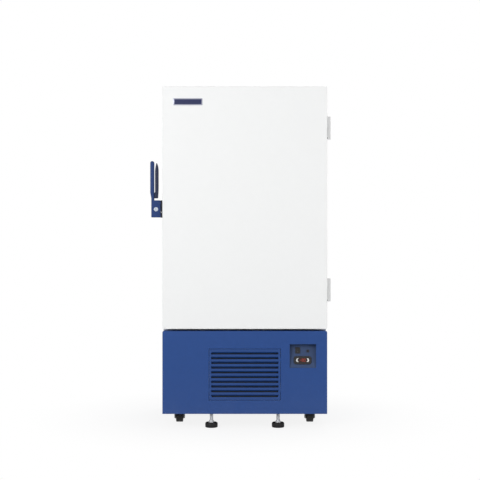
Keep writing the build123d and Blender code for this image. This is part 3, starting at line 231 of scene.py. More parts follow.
# %% Noise height
coarse_share = 0.07
grain_group, given, result = new_group(
    "surface_grain",
    [("Size", FLOAT, 0.002), ("Detail", FLOAT, 2.0), ("Stretch", VECTOR, (1, 1, 1))],
    [("Height", FLOAT), ("Tone", FLOAT)])
tree = grain_group
where = tree.nodes.new("ShaderNodeTexCoord")
stretched = add_node(tree, "ShaderNodeVectorMath",
                     {0: where.outputs["Object"], 1: given["Stretch"]}, operation="MULTIPLY")
fine_scale = calculate(tree, "DIVIDE", 1.0, given["Size"])
coarse_scale = calculate(tree, "MULTIPLY", fine_scale, coarse_share)
fine_noise = add_node(tree, "ShaderNodeTexNoise",
                      {"Vector": stretched.outputs[0], "Scale": fine_scale,
                       "Detail": given["Detail"]})
coarse_noise = add_node(tree, "ShaderNodeTexNoise",
                        {"Vector": stretched.outputs[0], "Scale": coarse_scale})
tree.links.new(fine_noise.outputs["Fac"], result.inputs["Height"])
tree.links.new(coarse_noise.outputs["Fac"], result.inputs["Tone"])

# %% [markdown]
# ### Broken edges
# No folded or moulded edge is a knife edge. The Bevel node turns the shading normal within a
# fraction of a millimetre of an edge, so that each edge catches a thin highlight without a single
# extra face. The same node tells where the edges are: where its normal leaves the face's own.

# %% Edges
edge_gain = 6.0
edge_patches = 60
edge_group, given, result = new_group(
    "broken_edge", [("Radius", FLOAT, 0.0006), ("Wear", FLOAT, 0.5)],
    [("Normal", VECTOR), ("Mask", FLOAT)])
tree = edge_group
rounding = add_node(tree, "ShaderNodeBevel", {"Radius": given["Radius"]}, samples=4)
face = tree.nodes.new("ShaderNodeNewGeometry")
agree = add_node(tree, "ShaderNodeVectorMath",
                 {0: rounding.outputs["Normal"], 1: face.outputs["Normal"]},
                 operation="DOT_PRODUCT")
where = tree.nodes.new("ShaderNodeTexCoord")
patches = add_node(tree, "ShaderNodeTexNoise",
                   {"Vector": where.outputs["Object"], "Scale": edge_patches})
leaving = calculate(tree, "SUBTRACT", 1.0, agree.outputs["Value"])
rubbed = calculate(tree, "MULTIPLY", leaving, edge_gain)
broken = calculate(tree, "MULTIPLY", rubbed, patches.outputs["Fac"])
worn = calculate(tree, "MULTIPLY", broken, given["Wear"])
tree.links.new(rounding.outputs["Normal"], result.inputs["Normal"])
tree.links.new(calculate(tree, "MINIMUM", worn, 1.0), result.inputs["Mask"])

# %% [markdown]
# ### Dust
# Dust settles near the floor and on faces that look up. The group mixes both with a patchy noise
# into one mask, which a material uses to lift its colour and its roughness a little.

# %% Dust mask
dust_patches = 9
dust_detail = 5
upward_share = 0.5
dust_group, given, result = new_group(
    "dust", [("Amount", FLOAT, 0.3), ("Fade height", FLOAT, 0.5)], [("Mask", FLOAT)])
tree = dust_group
where = tree.nodes.new("ShaderNodeTexCoord")
apart = add_node(tree, "ShaderNodeSeparateXYZ", {0: where.outputs["Object"]})
face = tree.nodes.new("ShaderNodeNewGeometry")
facing = add_node(tree, "ShaderNodeSeparateXYZ", {0: face.outputs["Normal"]})
patches = add_node(tree, "ShaderNodeTexNoise",
                   {"Vector": where.outputs["Object"], "Scale": dust_patches,
                    "Detail": dust_detail})
climbed = calculate(tree, "DIVIDE", apart.outputs["Z"], given["Fade height"])
low_part = calculate(tree, "MAXIMUM", calculate(tree, "SUBTRACT", 1.0, climbed), 0.0)
low_squared = calculate(tree, "MULTIPLY", low_part, low_part)
upward = calculate(tree, "MAXIMUM", facing.outputs["Z"], 0.0)
settled = calculate(tree, "ADD", low_squared, calculate(tree, "MULTIPLY", upward, upward_share))
patchy = calculate(tree, "MULTIPLY", settled, patches.outputs["Fac"])
dusty = calculate(tree, "MULTIPLY", patchy, given["Amount"])
tree.links.new(calculate(tree, "MINIMUM", dusty, 1.0), result.inputs["Mask"])

# %% [markdown]
# ### Two colours on one piece
# A latch bracket is dark where it lies on the door, but its lugs are painted with the lever. A
# caster fork is coloured dark between its light caps, which is painted shade for the shadow of the
# base above it. The line between two colours is a distance from a plane, so a group that measures
# it gives a clean mask.

# %% Line between two colours
line_group, given, result = new_group(
    "paint_and_painted_shade_line", [("Axis", VECTOR, (1, 0, 0)), ("Centre", FLOAT, 0.0), ("Reach", FLOAT, 10.0)],
    [("Mask", FLOAT)])
tree = line_group
where = tree.nodes.new("ShaderNodeTexCoord")
along = add_node(tree, "ShaderNodeVectorMath", {0: where.outputs["Object"], 1: given["Axis"]},
                 operation="DOT_PRODUCT")
from_centre = calculate(tree, "SUBTRACT", along.outputs["Value"], given["Centre"])
away = calculate(tree, "ABSOLUTE", from_centre)
tree.links.new(calculate(tree, "GREATER_THAN", away, given["Reach"]), result.inputs["Mask"])

# %% [markdown]
# ## Finishes
# A finish is one Principled shader fed by those groups. A few functions join them in the same
# order for every finish: the base colour drifts a little, edges and dust change it, the roughness
# follows the same patches as the colour, and the grain makes the height. Of the values, grain,
# depth and edge are lengths, and drift, wear and dust are shares.

# %% Colours from masks
def place_group(tree, group, **values):
    """Place a group in a material with its own values; gives its output sockets."""
    node = add_node(tree, "ShaderNodeGroup", node_tree=group)
    for label, value in values.items():
        node.inputs[label.replace("_", " ")].default_value = value
    return node.outputs


def mix_colours(tree, mask, first, second):
    """A colour mix whose ends are sockets or plain colours."""
    node = add_node(tree, "ShaderNodeMix", data_type="RGBA")
    tree.links.new(mask, node.inputs["Factor"])
    for label, value in (("A", first), ("B", second)):
        socket = [entry for entry in node.inputs if entry.name == label and entry.type == "RGBA"][0]
        if isinstance(value, tuple):
            socket.default_value = value
        else:
            tree.links.new(value, socket)
    return [entry for entry in node.outputs if entry.type == "RGBA"][0]


def shade(colour, factor):
    """The same colour, lighter or darker."""
    return tuple(min(1.0, channel * factor) for channel in colour[:3]) + (1.0,)


# %% Roughness and relief
coat_roughness = 0.12
dust_roughness = 0.4
least_roughness = 0.02


def vary_roughness(tree, tone, dusty, roughness, drift):
    """Roughness that drifts with the colour's patches and rises under dust."""
    matt = add_node(tree, "ShaderNodeMapRange",
                    {"Value": tone, "To Min": max(least_roughness, roughness - drift),
                     "To Max": min(1.0, roughness + drift)})
    dull = calculate(tree, "MULTIPLY", dusty, dust_roughness)
    return calculate(tree, "ADD", matt.outputs["Result"], dull)


def raise_grain(tree, height, normal, depth):
    """The normal of the grain, on top of the rounded edges."""
    relief = add_node(tree, "ShaderNodeBump", {"Strength": 1.0, "Distance": depth,
                                               "Height": height, "Normal": normal})
    return relief.outputs["Normal"]


# %% One function for every finish
dust_colour = (0.55, 0.53, 0.50, 1)
dust_fade = 0.45
edge_shade = 1.25
finish = {}


def make_finish(name, colour, roughness, grain=0.002, depth=0.00003, detail=2.0,
                stretch=(1, 1, 1), drift=0.04, metallic=0.0, edge=0.0006, wear=0.3,
                worn_colour=None, dust=0.25, coat=0.0, specular=0.3, rough_drift=0.08,
                beyond=None):
    """A painted, moulded, plated or brushed finish, kept under its name."""
    material = bpy.data.materials.new(name)
    material.use_nodes = True
    tree = material.node_tree
    surface = place_group(tree, grain_group, Size=grain, Detail=detail, Stretch=stretch)
    rim = place_group(tree, edge_group, Radius=edge, Wear=wear)
    film = place_group(tree, dust_group, Amount=dust, Fade_height=dust_fade)
    tone = mix_colours(tree, surface["Tone"], shade(colour, 1 - drift), shade(colour, 1 + drift))
    if beyond:
        other, centre, reach = beyond
        line = place_group(tree, line_group, Axis=(1, 0, 0), Centre=centre, Reach=reach)
        tone = mix_colours(tree, line["Mask"], tone, other)
    tone = mix_colours(tree, rim["Mask"], tone, worn_colour or shade(colour, edge_shade))
    tone = mix_colours(tree, film["Mask"], tone, dust_colour)
    shader = tree.nodes["Principled BSDF"].inputs
    shader["Metallic"].default_value = metallic
    shader["Specular IOR Level"].default_value = specular
    shader["Coat Weight"].default_value = coat
    shader["Coat Roughness"].default_value = coat_roughness
    tree.links.new(tone, shader["Base Color"])
    tree.links.new(vary_roughness(tree, surface["Tone"], film["Mask"], roughness, rough_drift),
                   shader["Roughness"])
    tree.links.new(raise_grain(tree, surface["Height"], rim["Normal"], depth), shader["Normal"])
    finish[name] = material


# %% [markdown]
# ### Paint
# Cabinet and door are white powder coat, and the base is a deep blue one. Powder coat is smooth
# and half glossy, so its drift and wear stay low. Compressors have a glossier black enamel, and
# brackets a thin dark coating that rubs off at the edges.

# %% Paints
make_finish("white_enamel", (0.845, 0.852, 0.850), 0.36, grain=0.0022, depth=0.00002,
            drift=0.008, wear=0.05, dust=0.06)
make_finish("blue_enamel", (0.012, 0.056, 0.222), 0.42, grain=0.0018, depth=0.000025,
            drift=0.05, wear=0.25, dust=0.05, worn_colour=(0.09, 0.16, 0.34, 1))
make_finish("recess_slate", (0.029, 0.056, 0.135), 0.5, grain=0.0012, depth=0.00002,
            drift=0.06, wear=0.2, dust=0.0)
make_finish("dark_coating", (0.006, 0.008, 0.018), 0.48, grain=0.0012, drift=0.1, wear=0.35,
            dust=0.03, worn_colour=(0.10, 0.10, 0.12, 1))
make_finish("black_enamel", (0.012, 0.012, 0.013), 0.3, drift=0.1, wear=0.4, dust=0.5,
            coat=0.3)
print("paints", len(finish))

# %% [markdown]
# ### Plastic
# The grille is moulded in nearly the same blue as the base, with a finer and duller grain. The
# lever is a deeper blue. Its blade is painted nearly black, which is painted shade for the shadow
# the blade stands in beside the bar. Moulded pieces show their grain more than their gloss, so
# they get more detail in the noise and less drift in the colour.

# %% Plastics
lever_blue = (0.013, 0.040, 0.150, 1)
make_finish("blue_plastic", (0.011, 0.052, 0.205), 0.46, grain=0.0005, detail=4, drift=0.04,
            wear=0.2, dust=0.04, worn_colour=(0.08, 0.15, 0.33, 1))
make_finish("handle_blue", lever_blue, 0.40, grain=0.0006, depth=0.00002, detail=4, drift=0.05,
            dust=0.0, worn_colour=(0.07, 0.13, 0.30, 1), specular=0.22)
# The blade's near-black colour is painted shade: it stands for the shadow beside the bar.
make_finish("handle_navy_painted_shade", (0.006, 0.012, 0.040), 0.52, grain=0.0007, depth=0.00004, detail=5,
            drift=0.08, dust=0.02)
make_finish("white_plastic", (0.93, 0.93, 0.93), 0.45, grain=0.0007, detail=4, drift=0.02,
            wear=0.1, dust=0.05)
make_finish("black_plastic", (0.014, 0.014, 0.016), 0.42, grain=0.0005, detail=4, drift=0.1,
            wear=0.5, dust=0.05, worn_colour=(0.05, 0.05, 0.055, 1))
make_finish("foot_plastic", (0.007, 0.007, 0.008), 0.5, grain=0.0008, depth=0.00005, detail=4,
            drift=0.1, dust=0.015, worn_colour=(0.04, 0.04, 0.042, 1), specular=0.2)
make_finish("key_white", (0.74, 0.74, 0.73), 0.3, grain=0.0006, depth=0.00001, drift=0.02,
            wear=0.1, dust=0.0, coat=0.3)
print("paints and plastics", len(finish))

# %% [markdown]
# ### Metal
# Metals differ by the direction of their brushing and by how tarnished they are. Stretching the
# noise along one axis makes the brushed lines of the stainless liner, and a strong drift makes
# the stains of copper tube. A stud under the base mirrors mostly the dark base, while on the real
# freezer it looks pale, so the zinc of the feet is only partly metallic.

# %% Metals
make_finish("stainless_steel", (0.60, 0.61, 0.62), 0.30, grain=0.0012, depth=0.000006, detail=6,
            stretch=(0.02, 0.02, 1), drift=0.05, metallic=1.0, dust=0.02)
make_finish("zinc_steel", (0.62, 0.63, 0.65), 0.32, grain=0.004, depth=0.00001, detail=5,
            drift=0.12, metallic=1.0, wear=0.4, dust=0.1, rough_drift=0.12)
make_finish("foot_zinc", (0.62, 0.63, 0.65), 0.40, grain=0.003, depth=0.00001, detail=5,
            drift=0.08, metallic=0.35, dust=0.02, specular=0.5)
make_finish("lock_chrome", (0.42, 0.46, 0.52), 0.30, grain=0.0008, depth=0.000004, detail=6,
            metallic=1.0, wear=0.2, dust=0.02)
make_finish("fin_aluminium", (0.68, 0.69, 0.70), 0.4, depth=0.00002, drift=0.1, metallic=1.0,
            dust=0.6)
make_finish("copper_tube", (0.72, 0.34, 0.19), 0.34, grain=0.004, depth=0.00001, drift=0.25,
            metallic=1.0, dust=0.2)
make_finish("dark_steel", (0.035, 0.036, 0.040), 0.5, grain=0.0015, drift=0.1, wear=0.5,
            dust=0.5)
print("with metals", len(finish))

# %% [markdown]
# ### Rubber, foam and mesh
# The soft and porous materials scatter light, so they are rough. Foam and filter mesh also get a
# deep relief, since their cells can be seen with the bare eye.

# %% Rubber, foam and mesh
make_finish("grey_rubber", (0.40, 0.41, 0.43), 0.62, grain=0.001, drift=0.06, wear=0.1,
            dust=0.05, specular=0.35)
make_finish("black_rubber", (0.010, 0.010, 0.011), 0.55, grain=0.0015, depth=0.00006, detail=4,
            drift=0.15, wear=0.4, dust=0.05, worn_colour=(0.04, 0.04, 0.04, 1), specular=0.25)
make_finish("rigid_foam", (0.80, 0.74, 0.55), 0.85, grain=0.003, depth=0.0004, detail=6,
            drift=0.12, dust=0.1)
make_finish("filter_mesh", (0.010, 0.012, 0.018), 0.9, grain=0.0025, depth=0.0012, detail=6,
            drift=0.4, dust=0.08, edge=0.001)
print("with soft materials", len(finish))

# %% [markdown]
# ### Pieces with two colours, and the rest
# The latch bracket carries two paints, and each caster fork a painted shade between its grey caps.
# Their line is measured on the piece itself: for the bracket from the side of the door, for a fork
# from its own middle. After that, every piece gets its finish, most by the material that the
# construction names.

# %% Latch bracket and caster forks
paint_past_door = 0.0103
cap_grey = (0.50, 0.51, 0.53, 1)
painted_shade_half_width = 0.0252
corners = ("left_front", "left_rear", "right_front", "right_rear")
own_look = {"door_handle": "handle_blue", "handle_inner_grip": "handle_navy_painted_shade",
            "control_tray": "recess_slate", "control_key": "dark_coating",
            "latch_bracket": "latch_two_tone"}
make_finish("latch_two_tone", (0.006, 0.008, 0.018), 0.48, grain=0.0012, drift=0.1, wear=0.35,
            dust=0.0, beyond=(lever_blue, 0.0, paint_past_door - door_low.x))
for corner in corners:
    fork_low, fork_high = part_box("caster_fork_" + corner)
    fork_middle = (fork_low.x + fork_high.x) / 2
    # The near-black middle of each fork is painted shade for the shadow of the base; the caps keep the fork's
    # grey.
    make_finish("fork_" + corner, (0.008, 0.008, 0.009), 0.45, grain=0.0015, depth=0.00002,
                drift=0.08, wear=0.2, dust=0.02, beyond=(cap_grey, fork_middle, painted_shade_half_width),
                specular=0.25)
    own_look["caster_fork_" + corner] = "fork_" + corner
print("pieces with a look of their own", len(own_look))

# %% Every piece gets its finish
for row in frame["record"]["subparts"]:
    shown = nodes[row["node"]]
    shown.data.materials.clear()
    shown.data.materials.append(finish[own_look.get(row["node"], row["material_slot"])])
print("finishes", len(finish))

# %% [markdown]
# ## Small pieces from loops
# A screw head, a cap, a plate and a display digit are all the same thing to a modeller: a stack of
# closed outlines with the same number of points, joined by faces from one to the next. Short
# functions draw round, rounded, hexagonal and cross-shaped outlines, and one more makes the skin
# between them. A piece is drawn flat, with its z pointing out of the surface, and then carried to
# its place by one matrix.

# %% Outlines
around = 24
cross_step = 15


def circle_loop(radius, z, count=around):
    """A circle about the local z axis."""
    turn = 2 * math.pi / count
    return [Vector((radius * math.cos(turn * i), radius * math.sin(turn * i), z))
            for i in range(count)]


def hexagon_loop(flat, z):
    """A hexagon with its half width across flats, sampled at even angles."""
    loop = []
    for i in range(around):
        angle = 2 * math.pi * i / around
        reach = flat / math.cos((angle % (math.pi / 3)) - math.pi / 6)
        loop.append(Vector((reach * math.cos(angle), reach * math.sin(angle), z)))
    return loop


def cross_loop(reach, z):
    """The outline of a cross recess, in steps of 15 degrees."""
    narrow = reach * math.tan(math.radians(cross_step))
    shoulder = reach / math.cos(math.radians(cross_step))
    steps = (reach, shoulder, 2 * narrow, narrow * math.sqrt(2), 2 * narrow, shoulder)
    return [Vector((steps[i % 6] * math.cos(math.radians(cross_step * i)),
                    steps[i % 6] * math.sin(math.radians(cross_step * i)), z))
            for i in range(around)]


def rounded_loop(width, height, corner, z, steps=5):
    """A rectangle with round corners, centred on the local z axis."""
    loop = []
    for quarter, (x_side, y_side) in enumerate(((1, 1), (-1, 1), (-1, -1), (1, -1))):
        for step in range(steps + 1):
            angle = math.pi / 2 * (quarter + step / steps)
            loop.append(Vector((x_side * (width / 2 - corner) + corner * math.cos(angle),
                                y_side * (height / 2 - corner) + corner * math.sin(angle), z)))
    return loop


print("outlines of", around, "points")

# %% Skin and place
upright = (0, 0, 1)


def skin(shape, loops, place, closed_ends=True):
    """Faces from each outline to the next, with the first and the last one filled."""
    rings = [[shape.verts.new(place @ point) for point in loop] for loop in loops]
    for lower, upper in zip(rings, rings[1:]):
        for i in range(len(lower)):
            shape.faces.new((lower[i - 1], lower[i], upper[i], upper[i - 1]))
    if closed_ends:
        shape.faces.new(list(reversed(rings[0])))
        shape.faces.new(rings[-1])


def stand_on(origin, right, up=upright):
    """The matrix that carries a flat drawing to a surface, its z pointing out of it."""
    right, up = Vector(right).normalized(), Vector(up).normalized()
    turn = Matrix((right, up, right.cross(up))).transposed().to_4x4()
    return Matrix.Translation(origin) @ turn


# %% Finished piece
def make_piece(name, shape, look, body, crease=35):
    """Turn the faces into a named piece that rides on a body."""
    bmesh.ops.recalc_face_normals(shape, faces=shape.faces)
    mesh = bpy.data.meshes.new(name)
    shape.to_mesh(mesh)
    shape.free()
    mesh.materials.append(finish[look])
    mesh.shade_smooth()
    mesh.set_sharp_from_angle(angle=math.radians(crease))
    piece = bpy.data.objects.new(name, mesh)
    bpy.context.scene.collection.objects.link(piece)
    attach(piece, body)
    print(name, len(mesh.polygons), "faces")
    return piece


# %% [markdown]
# ### Screw heads
# Two kinds are used: a low dome with a cross recess, and a round head with a hexagonal socket.
# Both are a profile of circles that ends in the outline of the recess, so the same skin closes
# the recess too. The pairs are shares of the head's radius and of its rise.

# %% Screw heads
dome_share = 0.45
dome_profile = ((1.0, 0.0), (1.0, 0.25), (0.92, 0.6), (0.75, 0.9), (0.6, 1.0))
cross_profile = ((0.5, 1.0), (0.42, 0.2))
socket_head_profile = ((1.0, 0.0), (1.0, 0.8), (0.9, 1.0))
socket_profile = ((0.5, 1.0), (0.5, 0.25))


def add_cross_screws(shape, places, right, radius):
    """Low domed heads with a cross recess, upright, one at each place."""
    dome = radius * dome_share
    loops = [circle_loop(radius * wide, dome * high) for wide, high in dome_profile]
    loops += [cross_loop(radius * wide, dome * high) for wide, high in cross_profile]
    for place in places:
        skin(shape, loops, stand_on(place, right))


def add_socket_screw(shape, place, radius, rise):
    """A round head with a hexagonal socket."""
    loops = [circle_loop(radius * wide, rise * high) for wide, high in socket_head_profile]
    loops += [hexagon_loop(radius * wide, rise * high) for wide, high in socket_profile]
    skin(shape, loops, place)


# %% [markdown]
# ## Nameplate
# High on the door's left side sits a small plate: a thin anodised strip, stuck on, with a dark
# field inside a bright border. It could be one box with two colours. Plate and field are two thin
# stacks of rounded outlines instead, so that the border shows as a real step with its own rim.

# %% Finishes of the plate
make_finish("plate_silver", (0.36, 0.37, 0.45), 0.34, grain=0.0008, depth=0.000003, detail=6,
            stretch=(0.03, 1, 1), drift=0.06, metallic=0.6, dust=0.0)
make_finish("plate_field", (0.020, 0.026, 0.085), 0.3, grain=0.0006, depth=0.000003, detail=4,
            stretch=(0.05, 1, 1), drift=0.1, wear=0.0, dust=0.0)

# %% Nameplate on the door
plate_width = 0.167
plate_height = 0.0400
plate_rise = 0.0016
plate_side = 0.7
plate_corner = 0.003
plate_border = 0.0055
plate_drop = 0.088
plate_inset = 0.1455
plate_middle = Vector((door_low.x + plate_inset, door_low.y, door_high.z - plate_drop))
on_door = stand_on(plate_middle, (1, 0, 0))
shape = bmesh.new()
skin(shape, [rounded_loop(plate_width, plate_height, plate_corner, 0),
             rounded_loop(plate_width, plate_height, plate_corner, plate_rise * plate_side),
             rounded_loop(plate_width - plate_rise, plate_height - plate_rise,
                          plate_corner - plate_rise / 2, plate_rise)], on_door)
make_piece("nameplate", shape, "plate_silver", "door")

# %% Field of the nameplate
field_width = plate_width - 2 * plate_border
field_height = plate_height - 2 * plate_border
field_rise = 0.0003
field_seat = 0.9
shape = bmesh.new()
skin(shape, [rounded_loop(field_width, field_height, plate_corner / 2, z)
             for z in (plate_rise * field_seat, plate_rise + field_rise)], on_door)
make_piece("nameplate_field", shape, "plate_field", "door")

# %% [markdown]
# ## Screws and caps
# Every hinge leaf, bracket and cover is held by screws, and their heads are what the eye finds
# when it looks for how a thing is put together. They are too fine for the construction, so they
# are placed here, each group as one piece that rides on the body it fastens.

# %% Screws of the hinge leaves
hinge_axis = Vector(joint_of["door_swing"]["pos_m"])
hinge_low, hinge_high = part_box("door_hinges")
hinge_half = 0.0655
knuckle_end = 0.0005
leaf_back = 0.014
leaf_thick = 0.006
leaf_start = 0.006
leaf_face_x = hinge_axis.x - leaf_back + leaf_thick
leaf_rows = (0.016, 0.049)
leaf_columns = (0.024, 0.045)
hinge_screw_radius = 0.0048
hinge_middles = (hinge_low.z, hinge_high.z - hinge_half + knuckle_end)
door_screws = bmesh.new()
cabinet_screws = bmesh.new()
for hinge_middle in hinge_middles:
    for row in leaf_rows:
        for column in leaf_columns:
            door_place = (leaf_face_x, hinge_axis.y - leaf_start - column, hinge_middle + row)
            cabinet_place = (leaf_face_x, hinge_axis.y + leaf_start + column, hinge_middle - row)
            add_cross_screws(door_screws, [door_place], (0, 1, 0), hinge_screw_radius)
            add_cross_screws(cabinet_screws, [cabinet_place], (0, 1, 0), hinge_screw_radius)
make_piece("door_hinge_screws", door_screws, "zinc_steel", "door")
make_piece("cabinet_hinge_screws", cabinet_screws, "zinc_steel", "root")

# %% Caps of the hinge pins
barrel_radius = 0.0135
cap_profile = ((0.94, 0.0), (0.94, 0.001), (0.8, 0.0022), (0.4, 0.003), (0.1, 0.0032))
caps = bmesh.new()
for hinge_middle in hinge_middles:
    cap_seat = (hinge_axis.x, hinge_axis.y, hinge_middle + hinge_half - knuckle_end)
    skin(caps, [circle_loop(barrel_radius * wide, rise) for wide, rise in cap_profile],
         stand_on(cap_seat, (1, 0, 0), (0, 1, 0)))
make_piece("hinge_pin_caps", caps, "white_plastic", "door")

# %% Locking screw in the fixed half of each hinge
outward = Vector((-0.5, -0.86, 0)).normalized()
lock_screw_drop = 0.058
lock_screw_sink = 0.0003
lock_screw_radius = 0.0034
lock_screw_rise = 0.0012
lock_screws = bmesh.new()
for hinge_middle in hinge_middles:
    on_axis = Vector((hinge_axis.x, hinge_axis.y, hinge_middle - lock_screw_drop))
    seat = on_axis + outward * barrel_radius - outward * lock_screw_sink
    add_socket_screw(lock_screws, stand_on(seat, outward.cross(upright) * -1),
                     lock_screw_radius, lock_screw_rise)
make_piece("hinge_lock_screws", lock_screws, "dark_steel", "root")

# %% Screws of the latch bracket
bracket_low, bracket_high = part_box("latch_bracket")
front_screw_past_door = 0.005
front_screw_rise = 0.029
front_screw_radius = 0.003
front_screw = (door_low.x - front_screw_past_door, bracket_low.y,
               bracket_low.z + front_screw_rise)
bracket_thick = 0.010
bracket_screw_inset = 0.016
bracket_screw_rises = (0.018, 0.079)
side_screw_radius = 0.005
side_screws = [(door_low.x - bracket_thick, bracket_high.y - bracket_screw_inset,
                bracket_low.z + rise) for rise in bracket_screw_rises]
bracket_screws = bmesh.new()
add_cross_screws(bracket_screws, [front_screw], (1, 0, 0), front_screw_radius)
add_cross_screws(bracket_screws, side_screws, (0, -1, 0), side_screw_radius)
make_piece("latch_bracket_screws", bracket_screws, "zinc_steel", "door")

# %% Screws of the latch keeper
keeper_low, keeper_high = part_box("latch_keeper")
keeper_thick = 0.004
keeper_screw_inset = 0.011
keeper_screw_rises = (0.022, 0.075)
keeper_places = [(door_low.x - keeper_thick, keeper_high.y - keeper_screw_inset,
                  keeper_low.z + rise) for rise in keeper_screw_rises]
keeper_screws = bmesh.new()
add_cross_screws(keeper_screws, keeper_places, (0, -1, 0), side_screw_radius)
make_piece("latch_keeper_screws", keeper_screws, "zinc_steel", "root")

# %% Screws of the rear panels
rear_margin = 0.012
rear_screw_radius = 0.0042
back_rows = 7
vent_rows = 3
back_low, back_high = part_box("cabinet_back")
vent_low, vent_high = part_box("rear_panel")
rear_screws = bmesh.new()
for low, high, rows in ((back_low, back_high, back_rows), (vent_low, vent_high, vent_rows)):
    for row in range(rows):
        z = low.z + rear_margin + (high.z - low.z - 2 * rear_margin) * row / (rows - 1)
        places = [(x, back_high.y, z) for x in (low.x + rear_margin, high.x - rear_margin)]
        add_cross_screws(rear_screws, places, (-1, 0, 0), rear_screw_radius)
make_piece("rear_panel_screws", rear_screws, "zinc_steel", "root")

# %% [markdown]
# ## Controls
# The controller shows a set temperature in red numerals. Seven bars make a figure, and each bar
# is a flat hexagon, so a short list of which bars are lit is all that a digit needs. The numerals
# glow a little on a smoky window.

# %% A frame on the sloping recess
key_joint = joint_of["control_key_turn"]
key_point = Vector(key_joint["pos_m"])
panel_out = Vector(key_joint["axis"]).normalized()
panel_right = Vector((1, 0, 0))
panel_up = panel_out.cross(panel_right)
key_offset = (0.030, 0.026)


def on_panel(right, up, out=0.0):
    """A place on the recess floor, from its middle."""
    origin = (key_point + panel_right * (right - key_offset[0]) + panel_up * (up - key_offset[1])
              + panel_out * out)
    return stand_on(origin, panel_right, panel_up)


print("recess faces", [round(value, 3) for value in panel_out])

# %% Finishes of the display
make_finish("mark_grey", (0.09, 0.09, 0.10), 0.5)
make_finish("window_red", (0.030, 0.010, 0.008), 0.30, depth=0.000002, drift=0.15, wear=0.0,
            dust=0.0)
digit_glow = bpy.data.materials.new("digit_glow")
digit_glow.use_nodes = True
glow_shader = digit_glow.node_tree.nodes["Principled BSDF"].inputs
glow_shader["Base Color"].default_value = (0.35, 0.02, 0.01, 1)
glow_shader["Roughness"].default_value = 0.35
glow_shader["Emission Color"].default_value = (0.85, 0.20, 0.09, 1)
glow_shader["Emission Strength"].default_value = 0.12
finish["digit_glow"] = digit_glow
print("finishes", len(finish))

# %% Display window
window_middle = (-0.001, -0.027)
window_width = 0.0436
window_height = 0.0256
window_floor = 0.0045
window_rise = 0.0012
window_side = 0.8
window_corner = 0.001
window_rim_corner = 0.0008
window_bevel = 0.0005
window_place = on_panel(*window_middle, window_floor)
shape = bmesh.new()
skin(shape, [rounded_loop(window_width, window_height, window_corner, 0),
             rounded_loop(window_width, window_height, window_corner, window_rise * window_side),
             rounded_loop(window_width - window_bevel, window_height - window_bevel,
                          window_rim_corner, window_rise)], window_place)
make_piece("display_window", shape, "window_red", "root")

# %% Bars of a numeral
digit_height = 0.0145
digit_width = 0.0082
bar_thick = 0.0017
bar_gap = 0.0003
half_width, half_height = digit_width / 2, digit_height / 2
lit_bars = {"-": "g", "8": "abcdefg", "0": "abcdef"}
# Each bar has the place of its middle, and says whether it stands.
bars = {"a": (0, half_height, False), "g": (0, 0, False), "d": (0, -half_height, False),
        "f": (-half_width, half_height / 2, True), "b": (half_width, half_height / 2, True),
        "e": (-half_width, -half_height / 2, True), "c": (half_width, -half_height / 2, True)}


def bar_loop(x, y, standing, z):
    """One lit bar: a long hexagon, standing or lying."""
    long_half = (half_height / 2 if standing else half_width) - bar_gap
    thick = bar_thick / 2
    outline = [(-long_half, 0), (-long_half + thick, -thick), (long_half - thick, -thick),
               (long_half, 0), (long_half - thick, thick), (-long_half + thick, thick)]
    if standing:
        outline = [(-v, u) for u, v in outline]
    return [Vector((x + u, y + v, z)) for u, v in outline]


print("bars of a numeral", len(bars))

# %% Numerals on the window
digit_rise = 0.00015
digit_seat = 0.9
digit_spacing = 1.45
shape = bmesh.new()
for index, figure in enumerate("-80"):
    for bar in lit_bars[figure]:
        x, y, standing = bars[bar]
        x += (index - 1) * digit_width * digit_spacing
        skin(shape, [bar_loop(x, y, standing, z)
                     for z in (window_rise * digit_seat, window_rise + digit_rise)], window_place)
make_piece("display_numerals", shape, "digit_glow", "root")

# %% [markdown]
# ### Marks on the rocker
# A line and a ring tell on from off. They stand on the rocker's two faces, so they ride on the
# rocker. The ring is a tube of four circles whose last circle is joined to the first.

# %% Line and ring
rocker_middle = (-0.028, 0.030)
rocker_tilt = math.radians(8)
rocker_up = panel_up * math.cos(rocker_tilt) + panel_out * math.sin(rocker_tilt)
rocker_place = stand_on(on_panel(*rocker_middle).translation, panel_right, rocker_up)
mark_height = 0.00345
mark_reach = 0.0078
mark_depth = 0.0006
mark_foot = mark_height - mark_depth
line_width = 0.0012
line_length = 0.0058
line_corner = 0.0003
ring_outer = 0.0029
ring_inner = 0.0019
same_place = 0.00001
shape = bmesh.new()
skin(shape, [rounded_loop(line_width, line_length, line_corner, z)
             for z in (mark_foot, mark_height)],
     rocker_place @ Matrix.Translation((0, mark_reach, 0)))
ring = [circle_loop(radius, z)
        for radius, z in ((ring_outer, mark_foot), (ring_outer, mark_height),
                          (ring_inner, mark_height), (ring_inner, mark_foot),
                          (ring_outer, mark_foot))]
skin(shape, ring, rocker_place @ Matrix.Translation((0, -mark_reach, 0)), closed_ends=False)
bmesh.ops.remove_doubles(shape, verts=shape.verts, dist=same_place)
make_piece("rocker_marks", shape, "mark_grey", "rocker")

# %% [markdown]
# ## Levelling feet
# A levelling foot is three things: a black pad, a plated cone and a long threaded stud. The
# construction holds its outer form as one plain solid, which stays for contact with the floor.
# Here it is replaced by a pad turned from an outline and a stud whose thread is real: the surface
# is a grid round the stud whose radius rises and falls with height minus turn. The outlines of
# pad and cone are pairs of radius and height.

